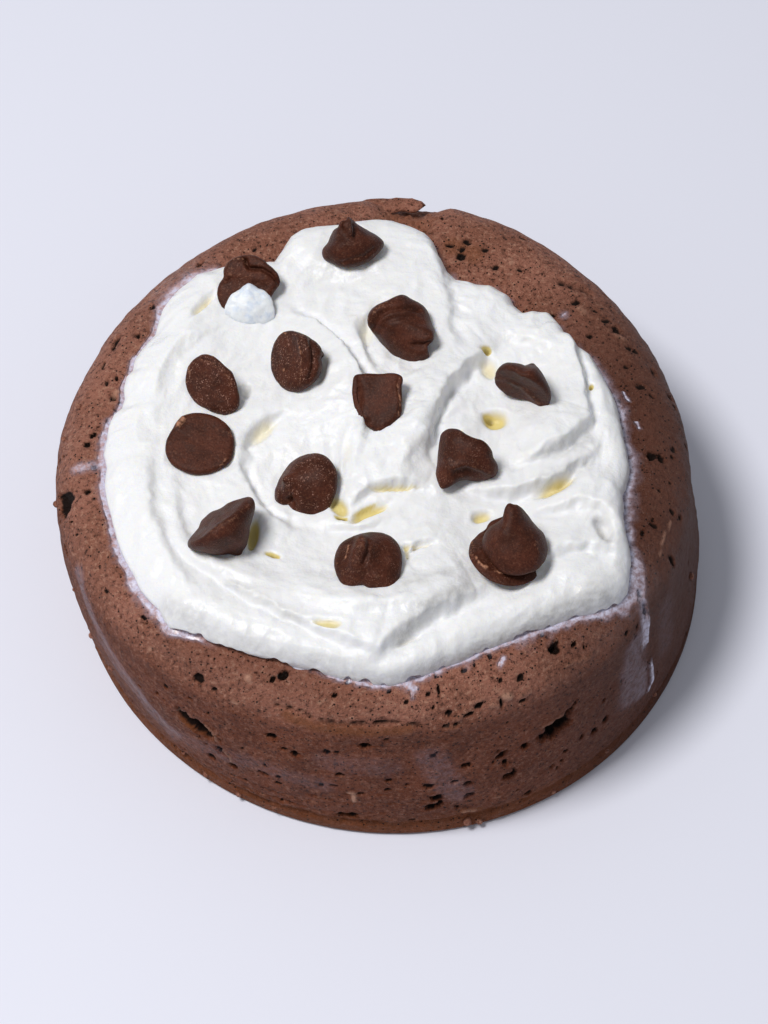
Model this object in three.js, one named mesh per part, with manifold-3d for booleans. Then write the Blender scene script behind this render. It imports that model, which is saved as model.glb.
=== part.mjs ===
// A small chocolate cheesecake with a spoonful of whipped cream and chocolate chips.
// Millimetres, +Z up, the shown front towards -Y. The top and all that lies on it are laid out
// about the rim's middle, and the whole is then moved to stand over its own middle.
import * as THREE from 'three';
import { mergeVertices } from 'three/addons/utils/BufferGeometryUtils.js';
import Module from 'manifold-3d';

const wasm = await Module();
wasm.setup();

// ---- driving dimensions ----

const cakeDiameter = 100;
const rimDiameter = 98.6;
const rimHeight = 33.1;
const shoulderRadius = 7;
const footShift = [2.1, -0.1]; // the cake leans: its foot's middle from the rim's middle
const middleShift = [-1.01, -0.28]; // the rim's middle from the middle of the whole
const dishDepth = 3;
const dishStart = 16;         // radius where the dish's floor begins to rise
const footRound = 0.8;        // rounding under the foot
const seamHeight = 3.4;       // a faint groove runs round just above the foot
const seamWidth = 1.8;
const seamDepth = 0.4;
const bulge = 0.5;            // the side swells a little half way up
const gap = 0.3;              // clearance between touching pieces
const roundSteps = 72;        // facets round the cake and the cream
const shoulderSteps = 5;      // facets over the shoulder
const dishSteps = 4;          // rings across the dish
const dishCrowd = 0.85;       // below 1, the outermost ring is the widest
const creamSteps = 45;        // facets across the cream
const edgeCrowd = [0.11, 8];  // how much, and how suddenly, they crowd at its edge

// Uneven roundness: harmonic number, cosine part and sine part of each wave.
const footWaves = [[2, -0.1, -0.1], [3, -0.2, 0.3]];
const rimWaves = [[2, -0.5, 0.1], [3, -0.3, -0.7], [4, 0, -0.1]];
const heightWaves = [[1, 0, 0.2], [2, -0.2, -0.2]];

const creamEdge = 3.9;        // thickness of the cream near its edge
const creamRise = 3.2;        // how much more it heaps up in the middle
const creamHeap = 38;         // radius of that heap
const creamLip = 3.2;         // how far in the rounded edge reaches
const creamRoot = 3;          // how far down it is made before the cake cuts it
// The cream's reach from the middle, one value every 15 degrees from +X.
const creamReach = [
  38.2, 37.9, 36.6, 35.5, 35.2, 39.0, 44.0, 43.3, 40.3, 43.2, 40.6, 40.4,
  41.3, 42.2, 43.9, 44.8, 43.7, 42.2, 43.3, 41.3, 39.8, 41.5, 44.8, 39.8,
];

// Folds: an arc by its start, middle and end, with the high side to the left of travel.
// height is the crest's, lip the steep side's width, apron the gentle side's, foot the crease's.
const folds = [
  { start: [-29.5, -29.5], middle: [-16, -36.5], end: [-0.5, -41],
    height: 1.0, lip: 2.2, apron: 7, foot: 0.3 },
  { start: [-28.5, -21], middle: [-23.5, -26], end: [-18, -30], height: 1.5, lip: 0.9, apron: 8, foot: 0.4 },
  { start: [-20, -30], middle: [-10.5, -34], end: [-1, -39.5], height: 2.4, lip: 1.0, apron: 8, foot: 0.6 },
  { start: [-0.5, -40], middle: [7.4, -35], end: [14.5, -29], height: 3.4, lip: 1.2, apron: 7, foot: 0.9 },
  { start: [-9.5, -28], middle: [0, -31.5], end: [12.5, -27.5], height: 2.2, lip: 2.6, apron: 8, foot: 0.2 },
  { start: [15, -13.5], middle: [23, -12], end: [31.5, -8], height: 2.6, lip: 1.3, apron: 6, foot: 0.8 },
  { start: [21, -17.5], middle: [28, -14.5], end: [36, -17], height: 1.8, lip: 1.6, apron: 3.5, foot: 0.5 },
  { start: [26, -25], middle: [30.5, -22], end: [36, -22], height: 1.3, lip: 1.0, apron: 4, foot: 0.4 },
  { start: [24, -7], middle: [29, -3], end: [31.5, 1], height: 2.6, lip: 1.3, apron: 6, foot: 0.6 },
  { start: [32, 0], middle: [31, 8.5], end: [28, 18], height: 2.8, lip: 1.1, apron: 6.5, foot: 0.6 },
  { start: [38, -9.5], middle: [37.5, 3], end: [31, 17.5], height: 1.2, lip: 1.6, apron: 2, foot: 0 },
  { start: [6, -5.5], middle: [10, 4], end: [17, 12], height: 3.0, lip: 1.5, apron: 5, foot: 0.5 },
  { start: [8, -10.5], middle: [8.5, -3], end: [12, 3], height: 1.4, lip: 1.6, apron: 4, foot: 0.3 },
  { start: [-5.5, -9.5], middle: [-3.5, 4.5], end: [-11.5, 18.5],
    height: 2.8, lip: 1.2, apron: 7, foot: 0.6 },
  { start: [-11.5, -21], middle: [-18.5, -14.5], end: [-20.5, -4],
    height: 1.5, lip: 1.2, apron: 4, foot: 0.5 },
  { start: [-20, -6], middle: [-18.5, -1], end: [-14, 1.5], height: 1.2, lip: 1.0, apron: 4, foot: 0.5 },
  { start: [12, 12], middle: [11, 23], end: [6.5, 33], height: 2.4, lip: 1.6, apron: 7, foot: 0.4 },
  { start: [-3.5, -15], middle: [2.5, -11.5], end: [8.5, -13.5], height: 1.8, lip: 1.0, apron: 6, foot: 0.6 },
];
const foldFade = 2.6;         // how fast a fold dies out past its ends
const sharpest = 1.5;         // least width of a steep side, for the facets to show it
const foldEnds = 0.35;        // part of its height that a fold still has at its ends
const foldSwell = 0.6;        // below 1, a fold rises fast from its ends to its full height
const apronCurve = 1.6;       // over 1, the gentle side is rounded at the crest
const creaseAway = 1.5;       // lip widths from the crest to the crease at its foot

// Soft mounds: middle, radius and height.
const mounds = [
  { at: [28, -18], radius: 3, height: 1.6 },
  { at: [14.5, 1.5], radius: 3.4, height: 1.4 },
  { at: [32, -25], radius: 4, height: 1.2 },
  { at: [25, -0.5], radius: 6, height: 1.6 },
  { at: [16.5, 22.5], radius: 7, height: 1.4 },
  { at: [-11.5, 31], radius: 5, height: 1.0 },
  { at: [2, 24.5], radius: 7, height: 1.8 },
  { at: [8.5, -18], radius: 6, height: 1.0 },
  { at: [-3.5, -25.5], radius: 6, height: 1.0 },
  { at: [-4, 32.5], radius: 6, height: 1.2 },
];

// Hollows that the spoon left: middle, half length, half width, turn in degrees and depth.
const hollows = [
  { at: [-1, -17], long: 3.0, wide: 0.9, turn: 24, depth: 2.4 },
  { at: [-17.5, -2.5], long: 2.2, wide: 1.3, turn: 55, depth: 1.6 },
  { at: [18, 9.5], long: 1.6, wide: 1.3, turn: -30, depth: 2.0 },
  { at: [18.5, -0.5], long: 1.9, wide: 2.2, turn: 0, depth: 3.2 },
  { at: [28, -11], long: 3.0, wide: 1.1, turn: 28, depth: 1.8 },
  { at: [34, -19], long: 1.3, wide: 2.0, turn: 0, depth: 2.6 },
  { at: [16, -17.5], long: 1.3, wide: 0.9, turn: 30, depth: 1.8 },
  { at: [-27, 23.5], long: 0.9, wide: 2.4, turn: -28, depth: 2.2 },
  { at: [-3, 16], long: 1.2, wide: 3.0, turn: 10, depth: 1.8 },
];

// Chips: the foot's middle seen from above, its lift over the cream, the lean of the axis
// from upright (180 lies foot up), the turn from +X that it leans to, its size and its tip's curl.
const chips = [
  { at: [-3.5, 33.1], lift: -0.5, lean: 12, turn: 150, radius: 5.0, height: 8.2, curl: [0.9, 270] },
  { at: [-19.4, 26.8], lift: 1.7, lean: 137, turn: 81, radius: 5.2, height: 5.4, curl: [0, 0] },
  { at: [2.6, 19.6], lift: 1.0, lean: 74, turn: 298, radius: 5.4, height: 8.6, curl: [1.2, 45] },
  { at: [-12.9, 10.4], lift: 1.9, lean: 135, turn: 31, radius: 4.7, height: 5.8, curl: [0, 0] },
  { at: [-25.0, 7.4], lift: 1.5, lean: 124, turn: 65, radius: 5.0, height: 5.4, curl: [0, 0] },
  { at: [-26.1, -4.2], lift: 1.2, lean: 172, turn: 90, radius: 5.3, height: 5.0, curl: [0, 0] },
  { at: [1.1, 2.6], lift: 1.4, lean: 153, turn: 84, radius: 4.9, height: 5.2, curl: [0, 0] },
  { at: [26.1, 6.3], lift: 0.8, lean: 70, turn: 187, radius: 4.9, height: 8.0, curl: [0.5, 90] },
  { at: [14.5, -5.7], lift: 2.2, lean: 94, turn: 235, radius: 5.0, height: 7.8, curl: [0.8, 300] },
  { at: [-9.0, -9.7], lift: -0.6, lean: 46, turn: 246, radius: 5.1, height: 5.8, curl: [1.6, 200] },
  { at: [-23.6, -20.7], lift: 3.4, lean: 124, turn: 318, radius: 5.7, height: 7.2, curl: [0.4, 0] },
  { at: [-0.7, -26.4], lift: -0.4, lean: 3, turn: 270, radius: 5.1, height: 5.4, curl: [0.6, 150] },
  { at: [20.5, -24.1], lift: 0.8, lean: 30, turn: 90, radius: 5.3, height: 9.4, curl: [1.1, 190] },
  { at: [19.2, -25.6], lift: -1.2, lean: 30, turn: 90, radius: 5.2, height: 1.5, curl: [0, 0] },
];
const chipSides = 14;
// A chip's outline from the foot to the tip, as parts of its radius and its height.
const chipOutline = [
  [0, 0], [0.8, 0], [0.96, 0.07], [1, 0.18], [0.93, 0.32], [0.72, 0.52], [0.43, 0.72], [0.2, 0.88], [0, 1],
];
const pocketGap = 0.35;       // clearance round a chip in the cream

// Bubbles and tears that open on the side: middle, half sizes and turn about the outward line.
const sideHoles = [
  { at: [27.5, -41.3, 16.6], half: [2.6, 2.4, 1.0], roll: 34 },
  { at: [-26.0, -42.2, 19.4], half: [2.6, 1.6, 1.1], roll: -22 },
  { at: [-21.9, -44.4, 14.6], half: [1.1, 1.1, 0.9], roll: -30 },
];
// The torn rim at the back: where the gap is, its size, and the skin's lift beside it and its run.
const tear = { turn: 83, width: 2.2, depth: 2.4, length: 16, lift: 1.2, run: 26 };
// The nick in the left of the rim.
const nick = { at: [-47.4, -10.2, 30.0], half: [1.8, 2.2, 2.0], roll: 0 };

// ---- shared forms ----

const degrees = Math.PI / 180;

function smooth(from, to, value) {
  const t = THREE.MathUtils.clamp((value - from) / (to - from), 0, 1);
  return t * t * (3 - 2 * t);
}

function wave(waves, angle) {
  return waves.reduce((sum, [n, c, s]) => sum + c * Math.cos(n * angle) + s * Math.sin(n * angle), 0);
}

function turnFrom(angle, centre) {
  return THREE.MathUtils.euclideanModulo(angle / degrees - centre + 180, 360) - 180;
}

// The rim's skin rises towards the tear on one side and stops there.
function tornLift(angle) {
  const past = turnFrom(angle, tear.turn);
  return past > 0 ? tear.lift * (1 - smooth(0, tear.run, past)) : 0;
}

function rimRadius(angle) {
  return rimDiameter / 2 + wave(rimWaves, angle);
}

function footRadius(angle) {
  return cakeDiameter / 2 + wave(footWaves, angle);
}

function crownHeight(angle) {
  return rimHeight + wave(heightWaves, angle);
}

// The cake's upper face, from the sunken middle over the crown and down the shoulder.
function cakeTop(x, y) {
  const angle = Math.atan2(y, x);
  const radius = Math.hypot(x, y);
  const crown = rimRadius(angle) - shoulderRadius;
  const past = Math.min(Math.max(radius - crown, 0), shoulderRadius);
  const dish = dishDepth * (1 - smooth(dishStart, crown, radius));
  const fall = shoulderRadius - Math.sqrt(shoulderRadius ** 2 - past ** 2);
  return crownHeight(angle) - dish - fall;
}

function reach(angle) {
  const count = creamReach.length;
  const place = THREE.MathUtils.euclideanModulo(angle / (2 * Math.PI), 1) * count;
  const index = Math.floor(place);
  const [a, b, c, d] = [-1, 0, 1, 2].map((step) => creamReach[(index + step + count) % count]);
  const t = place - index;
  const curve = 2 * b + (c - a) * t + (2 * a - 5 * b + 4 * c - d) * t * t + (3 * b - a - 3 * c + d) * t ** 3;
  return curve / 2;
}

// The circle through a fold's three points, and the way it is travelled.
function arcOf({ start, middle, end }) {
  const [ax, ay] = start;
  const [bx, by] = middle;
  const [cx, cy] = end;
  const twice = 2 * (ax * (by - cy) + bx * (cy - ay) + cx * (ay - by));
  const a2 = ax * ax + ay * ay;
  const b2 = bx * bx + by * by;
  const c2 = cx * cx + cy * cy;
  const x = (a2 * (by - cy) + b2 * (cy - ay) + c2 * (ay - by)) / twice;
  const y = (a2 * (cx - bx) + b2 * (ax - cx) + c2 * (bx - ax)) / twice;
  const way = Math.sign(twice);
  const from = Math.atan2(ay - y, ax - x);
  const span = THREE.MathUtils.euclideanModulo((Math.atan2(cy - y, cx - x) - from) * way, 2 * Math.PI);
  return { x, y, way, from, span, radius: Math.hypot(ax - x, ay - y) };
}

function foldHeight(fold, x, y) {
  const { arc, height, foot } = fold;
  const lip = Math.max(fold.lip, sharpest);
  const radius = Math.hypot(x - arc.x, y - arc.y);
  const turned = (Math.atan2(y - arc.y, x - arc.x) - arc.from) * arc.way;
  const slack = Math.PI - arc.span / 2;
  const along = THREE.MathUtils.euclideanModulo(turned + slack, 2 * Math.PI) - slack;
  const past = (Math.max(-along, 0) + Math.max(along - arc.span, 0)) * Math.min(radius, arc.radius);
  const part = THREE.MathUtils.clamp(along / arc.span, 0, 1);
  const apron = arc.way > 0 ? Math.min(fold.apron, arc.radius / 2) : fold.apron;
  const side = (arc.radius - radius) * arc.way;
  const crest = side > 0 ? Math.exp(-((side / apron) ** apronCurve)) : Math.exp(-((side / lip) ** 2));
  const crease = Math.exp(-((side / lip + creaseAway) ** 2));
  const swell = foldEnds + (1 - foldEnds) * Math.sin(Math.PI * part) ** foldSwell;
  return Math.exp(-((past / foldFade) ** 2)) * swell * (height * crest - foot * crease);
}

function moundHeight({ at, radius, height }, x, y) {
  return height * Math.exp(-(((x - at[0]) ** 2 + (y - at[1]) ** 2) / radius ** 2));
}

function hollowDepth({ at, long, wide, turn, depth }, x, y) {
  const c = Math.cos(turn * degrees);
  const s = Math.sin(turn * degrees);
  const u = ((x - at[0]) * c + (y - at[1]) * s) / long;
  const v = (-(x - at[0]) * s + (y - at[1]) * c) / wide;
  return depth * Math.exp(-((u * u + v * v) ** 1.3));
}

const bentFolds = folds.map((fold) => ({ ...fold, arc: arcOf(fold) }));

function creamTop(x, y) {
  const radius = Math.hypot(x, y);
  let height = creamEdge + creamRise * (1 - smooth(0, creamHeap, radius));
  for (const fold of bentFolds) height += foldHeight(fold, x, y);
  for (const mound of mounds) height += moundHeight(mound, x, y);
  for (const hollow of hollows) height -= hollowDepth(hollow, x, y);
  const inside = THREE.MathUtils.clamp((reach(Math.atan2(y, x)) - radius) / creamLip, 0, 1);
  return cakeTop(x, y) + gap + (height - gap) * Math.sqrt(1 - (1 - inside) ** 2);
}

// ---- solids ----

// The geometry with only its positions left, shared corners merged.
function bare(geometry) {
  const plain = geometry.clone();
  plain.deleteAttribute('normal');
  plain.deleteAttribute('uv');
  return mergeVertices(plain, 1e-4);
}

// Moves every corner of a body by a rule.
function reshaped(geometry, rule) {
  const shape = bare(geometry);
  const places = shape.attributes.position;
  const corner = new THREE.Vector3();
  for (let i = 0; i < places.count; i += 1) {
    corner.fromBufferAttribute(places, i);
    rule(corner);
    places.setXYZ(i, corner.x, corner.y, corner.z);
  }
  return shape;
}

function solid(geometry) {
  const vertProperties = new Float32Array(geometry.attributes.position.array);
  const triVerts = new Uint32Array(geometry.index.array);
  return new wasm.Manifold(new wasm.Mesh({ numProp: 3, vertProperties, triVerts }));
}

function geometryOf(body) {
  const { vertProperties, triVerts } = body.getMesh();
  const geometry = new THREE.BufferGeometry();
  geometry.setAttribute('position', new THREE.BufferAttribute(new Float32Array(vertProperties), 3));
  geometry.setIndex(new THREE.BufferAttribute(new Uint32Array(triVerts), 1));
  return geometry;
}

function largest(body) {
  return body.decompose().sort((a, b) => b.volume() - a.volume())[0];
}

// A profile of [radius, height] pairs turned round +Z.
function turned(profile, steps) {
  const points = profile.map(([radius, height]) => new THREE.Vector2(radius, height));
  return new THREE.LatheGeometry(points, steps).rotateX(Math.PI / 2);
}

function ball(at, half, spin) {
  const geometry = new THREE.SphereGeometry(1, 10, 7).scale(...half).applyQuaternion(spin);
  return solid(bare(geometry.translate(...at)));
}

// ---- the cake ----

function cakeProfile() {
  const foot = cakeDiameter / 2;
  const rim = rimDiameter / 2;
  const springing = rimHeight - shoulderRadius;
  const outline = [
    [0, 0], [foot / 2, 0], [foot - footRound, 0], [foot, footRound], [foot, seamHeight - seamWidth / 2],
    [foot - seamDepth, seamHeight], [foot, seamHeight + seamWidth / 2],
  ];
  for (const part of [1 / 3, 2 / 3]) {
    const height = THREE.MathUtils.lerp(seamHeight, springing, part);
    outline.push([foot + bulge * Math.sin(Math.PI * part), height]);
  }
  for (let step = 0; step <= shoulderSteps; step += 1) {
    const turn = (step / shoulderSteps) * (Math.PI / 2);
    const out = rim - shoulderRadius + shoulderRadius * Math.cos(turn);
    outline.push([out, springing + shoulderRadius * Math.sin(turn)]);
  }
  for (let step = 1; step <= dishSteps; step += 1) {
    outline.push([(rim - shoulderRadius) * (1 - (step / dishSteps) ** dishCrowd), rimHeight]);
  }
  return outline;
}

// Makes the even turned body uneven: its roundness, its upper face, the torn rim and the lean.
function shapeCake(corner) {
  const angle = Math.atan2(corner.y, corner.x);
  const radius = Math.hypot(corner.x, corner.y);
  const level = THREE.MathUtils.clamp(corner.z / (rimHeight - shoulderRadius), 0, 1);
  const even = THREE.MathUtils.lerp(cakeDiameter / 2, rimDiameter / 2, level);
  const uneven = THREE.MathUtils.lerp(footRadius(angle), rimRadius(angle), smooth(0, 1, level));
  const moved = radius + (uneven - even) * smooth(0.5 * even, 0.8 * even, radius);
  if (radius > 0) {
    corner.x *= moved / radius;
    corner.y *= moved / radius;
  }
  if (corner.z > rimHeight - 1e-3) {
    corner.z = cakeTop(corner.x, corner.y);
  } else {
    corner.z += (crownHeight(angle) - rimHeight) * smooth(0.3 * rimHeight, rimHeight, corner.z);
  }
  const crown = rimRadius(angle) - shoulderRadius;
  const atRim = smooth(crown - 2, crown + 2, moved) * smooth(rimHeight - 5, rimHeight, corner.z);
  corner.z += tornLift(angle) * atRim;
  const lean = 1 - smooth(0, 1, level);
  corner.x += footShift[0] * lean;
  corner.y += footShift[1] * lean;
}

// A three-sided bar that points inwards, flat side up, and opens the torn rim.
function tornWedge() {
  const turn = tear.turn * degrees;
  const wedge = new THREE.CylinderGeometry(tear.width, tear.width, tear.length, 3).rotateY(Math.PI / 2);
  wedge.scale(1, 1, tear.depth / tear.width).rotateZ(turn + Math.PI / 2);
  wedge.translate(0, 0, crownHeight(turn) + tear.depth / 6);
  const out = rimRadius(turn) - 1;
  return solid(bare(wedge.translate(out * Math.cos(turn), out * Math.sin(turn), 0)));
}

function makeCake(whole) {
  let body = solid(whole);
  for (const { at, half, roll } of [...sideHoles, nick]) {
    const outward = Math.atan2(at[1], at[0]) + Math.PI / 2;
    const spin = new THREE.Euler(0, roll * degrees, outward, 'ZYX');
    body = body.subtract(ball(at, half, new THREE.Quaternion().setFromEuler(spin)));
  }
  return geometryOf(largest(body.subtract(tornWedge())));
}

// ---- the chips ----

// A chip is a drop that was dripped on a flat belt: flat foot, rounded hem, drawn tip.
function chipGeometry({ radius, height, curl }, grow) {
  const profile = chipOutline.map(([out, up]) => [out * radius, up * height]);
  const [bend, towards] = curl;
  const wide = (radius + grow) / radius;
  const tall = (height + 2 * grow) / height;
  return reshaped(turned(profile, chipSides), (corner) => {
    const high = smooth(0.5, 1, corner.z / height);
    corner.x = corner.x * wide + bend * high * Math.cos(towards * degrees);
    corner.y = corner.y * wide + bend * high * Math.sin(towards * degrees);
    corner.z = corner.z * tall - grow;
  });
}

function chipPose({ at, lift, lean, turn }) {
  const up = new THREE.Vector3(0, 0, 1);
  const sideways = Math.sin(lean * degrees);
  const axis = new THREE.Vector3(
    sideways * Math.cos(turn * degrees), sideways * Math.sin(turn * degrees), Math.cos(lean * degrees),
  );
  const quaternion = new THREE.Quaternion().setFromUnitVectors(up, axis);
  const position = new THREE.Vector3(at[0], at[1], creamTop(at[0], at[1]) + lift);
  return new THREE.Matrix4().compose(position, quaternion, new THREE.Vector3(1, 1, 1));
}

// ---- the cream ----

// Turns a square slab into the cream's outline, its upper face and a lower one inside the cake.
function shapeCream(corner) {
  const ring = Math.max(Math.abs(corner.x), Math.abs(corner.y));
  const over = corner.z > 0;
  if (ring > 0) {
    const [x, y] = [corner.x, corner.y].map((side) => Math.tan((side / ring) * (Math.PI / 4)));
    const angle = Math.atan2(y, x);
    const [crowd, sudden] = edgeCrowd;
    const radius = reach(angle) * ring * (1 + crowd * (1 - ring ** sudden));
    corner.set(radius * Math.cos(angle), radius * Math.sin(angle), 0);
  }
  corner.z = over ? creamTop(corner.x, corner.y) : cakeTop(corner.x, corner.y) - creamRoot;
}

// The cream's underside is cut by the whole cake, raised by the gap.
function makeCream(whole) {
  const slab = new THREE.BoxGeometry(2, 2, 1, creamSteps, creamSteps, 1);
  let body = solid(reshaped(slab, shapeCream));
  body = body.subtract(solid(bare(whole.clone().translate(0, 0, gap))));
  for (const chip of chips) {
    body = body.subtract(solid(chipGeometry(chip, pocketGap).applyMatrix4(chipPose(chip))));
  }
  return geometryOf(largest(body));
}

// ---- the whole ----

function mesh(name, geometry, colour, roughness) {
  const material = new THREE.MeshStandardMaterial({ color: colour, roughness, flatShading: true });
  const piece = new THREE.Mesh(geometry, material);
  piece.name = name;
  return piece;
}

const cheesecake = new THREE.Group();
const wholeCake = reshaped(turned(cakeProfile(), roundSteps), shapeCake);
cheesecake.add(mesh('cake', makeCake(wholeCake), 0x6b443c, 0.6));
cheesecake.add(mesh('whipped_cream', makeCream(wholeCake), 0xf2f1ec, 0.45));
chips.forEach((chip, index) => {
  const piece = mesh(`chip_${String(index + 1).padStart(2, '0')}`, chipGeometry(chip, 0), 0x4a2f2a, 0.4);
  piece.applyMatrix4(chipPose(chip));
  cheesecake.add(piece);
});

cheesecake.position.set(...middleShift, 0);

export default cheesecake;
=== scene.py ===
import math

import bmesh
import bpy
import numpy as np
from mathutils import Matrix, Vector


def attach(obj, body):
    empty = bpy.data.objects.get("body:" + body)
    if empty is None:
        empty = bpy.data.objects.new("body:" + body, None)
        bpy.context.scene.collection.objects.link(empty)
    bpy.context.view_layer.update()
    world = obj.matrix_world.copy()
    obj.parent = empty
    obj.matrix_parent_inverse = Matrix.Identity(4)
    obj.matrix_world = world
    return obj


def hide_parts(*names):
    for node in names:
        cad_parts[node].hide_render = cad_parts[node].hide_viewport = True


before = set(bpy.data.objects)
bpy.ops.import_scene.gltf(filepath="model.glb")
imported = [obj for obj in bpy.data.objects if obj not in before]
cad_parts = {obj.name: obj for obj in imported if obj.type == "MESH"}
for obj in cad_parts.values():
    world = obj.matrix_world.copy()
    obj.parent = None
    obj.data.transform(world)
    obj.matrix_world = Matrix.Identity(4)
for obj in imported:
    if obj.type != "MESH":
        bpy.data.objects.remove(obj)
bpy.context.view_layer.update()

mm = 0.001
rimMiddle = (-1.01, -0.28)    # millimetres from the middle of the whole to the rim's middle

view = {    # the photograph's camera, in millimetres about the middle of the whole
    "lens": 100, "sensor": 36, "distance": 450, "elevation": 56, "aim": (0.57, -1.33, 14.29),
    "pixels": (768, 1024),
}

tilt = math.radians(view["elevation"])
across = np.array([1, 0, 0])    # right, up and towards the viewer, as the photograph sees them
upward = np.array([0, math.sin(tilt), math.cos(tilt)])
toViewer = np.array([0, -math.cos(tilt), math.sin(tilt)])
cameraSpot = np.array(view["aim"]) + toViewer * view["distance"]


def smooth(low, high, value):
    t = np.clip((value - low) / (high - low), 0, 1)
    return t * t * (3 - 2 * t)


def wave(parts, angle):
    return sum(c * np.cos(n * angle) + s * np.sin(n * angle) for n, c, s in parts)


def spline(a, b, c, d, t):
    return (2 * b + (c - a) * t + (2 * a - 5 * b + 4 * c - d) * t ** 2 + (3 * b - a - 3 * c + d) * t ** 3) / 2


def around(values, angle):    # a smooth closed curve through values given at even angles
    values = np.array(values, float)
    place = (angle / (2 * np.pi) % 1) * len(values)
    index = np.floor(place).astype(int)
    return spline(*(values[(index + step) % len(values)] for step in (-1, 0, 1, 2)), place - index)


def through(points, count):    # evenly spaced places on a smooth curve through points
    points = np.array(points, float)
    ends = np.vstack([2 * points[0] - points[1], points, 2 * points[-1] - points[-2]])
    place = np.linspace(0, len(points) - 1, 20 * len(points))
    index = np.minimum(place.astype(int), len(points) - 2)
    fine = spline(*(ends[index + step] for step in range(4)), (place - index)[:, None])
    length = np.append(0, np.cumsum(np.linalg.norm(np.diff(fine, axis=0), axis=1)))
    even = np.linspace(0, length[-1], count)
    return np.stack([np.interp(even, length, fine[:, axis]) for axis in (0, 1)], 1)


def fromLine(points, u, v):    # distance from a line through a few points
    near = np.full(np.shape(u), np.inf)
    points = points if len(points) > 1 else points * 2
    for (au, av), (bu, bv) in zip(points, points[1:]):
        du, dv = bu - au, bv - av
        t = np.clip(((u - au) * du + (v - av) * dv) / max(du * du + dv * dv, 1e-9), 0, 1)
        near = np.minimum(near, np.hypot(u - au - t * du, v - av - t * dv))
    return near


def places(bm):
    return np.array([v.co[:] for v in bm.verts])


def outwards(bm):
    bm.normal_update()
    return np.array([v.normal[:] for v in bm.verts])


def moveTo(bm, spots):
    for vert, spot in zip(bm.verts, spots):
        vert.co = spot


def roughly(spots, size, seed, waves=26):    # uneven ripples, about size across and mostly within 1
    draw = np.random.default_rng(seed)
    heading = draw.normal(size=(waves, 3))
    length = np.linalg.norm(heading, axis=1, keepdims=True)
    heading *= draw.uniform(0.5, 1.7, (waves, 1)) * np.pi / size / length
    return np.cos(spots @ heading.T + draw.uniform(0, 2 * np.pi, waves)).sum(1) * 0.5 / math.sqrt(waves)


def layered(spots, layers):    # ripples of several sizes together, each as amount, size and seed
    return sum(amount * roughly(spots, size, seed) for amount, size, seed in layers)


focal = view["lens"] / view["sensor"] * view["pixels"][1]    # in pixels


def seenFrom(spots, pixel):    # millimetres right of and above a pixel of the photograph
    off = spots + (*rimMiddle, 0) - cameraSpot
    depth = -(off @ toViewer)
    wide, tall = (np.array(pixel) - np.array(view["pixels"]) / 2) / focal
    return off @ across - wide * depth, off @ upward + tall * depth


def behindPixel(pixel, height):    # the place at a height over the ground that a pixel shows
    wide, tall = (np.array(pixel) - np.array(view["pixels"]) / 2) / focal
    ray = wide * across - tall * upward - toViewer
    spot = cameraSpot + ray * (height - cameraSpot[2]) / ray[2] - (*rimMiddle, 0)
    return float(spot[0]), float(spot[1])


def fitOutline(spots, pixel, outline):    # stretches a shape to fill an outline that the photograph shows
    u, v = seenFrom(spots, pixel)
    angle, reach = np.arctan2(v, u), np.hypot(u, v)
    count = 72
    most = np.zeros(count)
    place = (angle / (2 * np.pi) % 1) * count
    np.maximum.at(most, place.astype(int), reach)
    most = np.max([np.roll(most, step) for step in (-1, 0, 1)], axis=0)
    most = sum(np.roll(most, step) for step in (-1, 0, 1)) / 3
    index = np.floor(place - 0.5).astype(int)
    part = place - 0.5 - index
    now = most[index % count] * (1 - part) + most[(index + 1) % count] * part
    change = around(outline, angle) / now - 1
    return spots + (u * change)[:, None] * across + (v * change)[:, None] * upward


def finishPiece(name, bm, material, nodes=(), marks=None):    # millimetres about the rim become metres
    bm.normal_update()
    bmesh.ops.transform(bm, matrix=Matrix.Scale(mm, 4) @ Matrix.Translation((*rimMiddle, 0)), verts=bm.verts)
    mesh = bpy.data.meshes.new(name)
    bm.to_mesh(mesh)
    bm.free()
    mesh.polygons.foreach_set("use_smooth", [True] * len(mesh.polygons))
    for label, values in (marks or {}).items():
        mesh.attributes.new(label, "FLOAT", "POINT").data.foreach_set("value", np.asarray(values, np.float32))
    mesh.materials.append(material)
    piece = bpy.data.objects.new(name, mesh)
    bpy.context.scene.collection.objects.link(piece)
    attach(piece, "root")
    if nodes:
        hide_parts(*nodes)
    print(name, len(mesh.vertices), "points")


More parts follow.
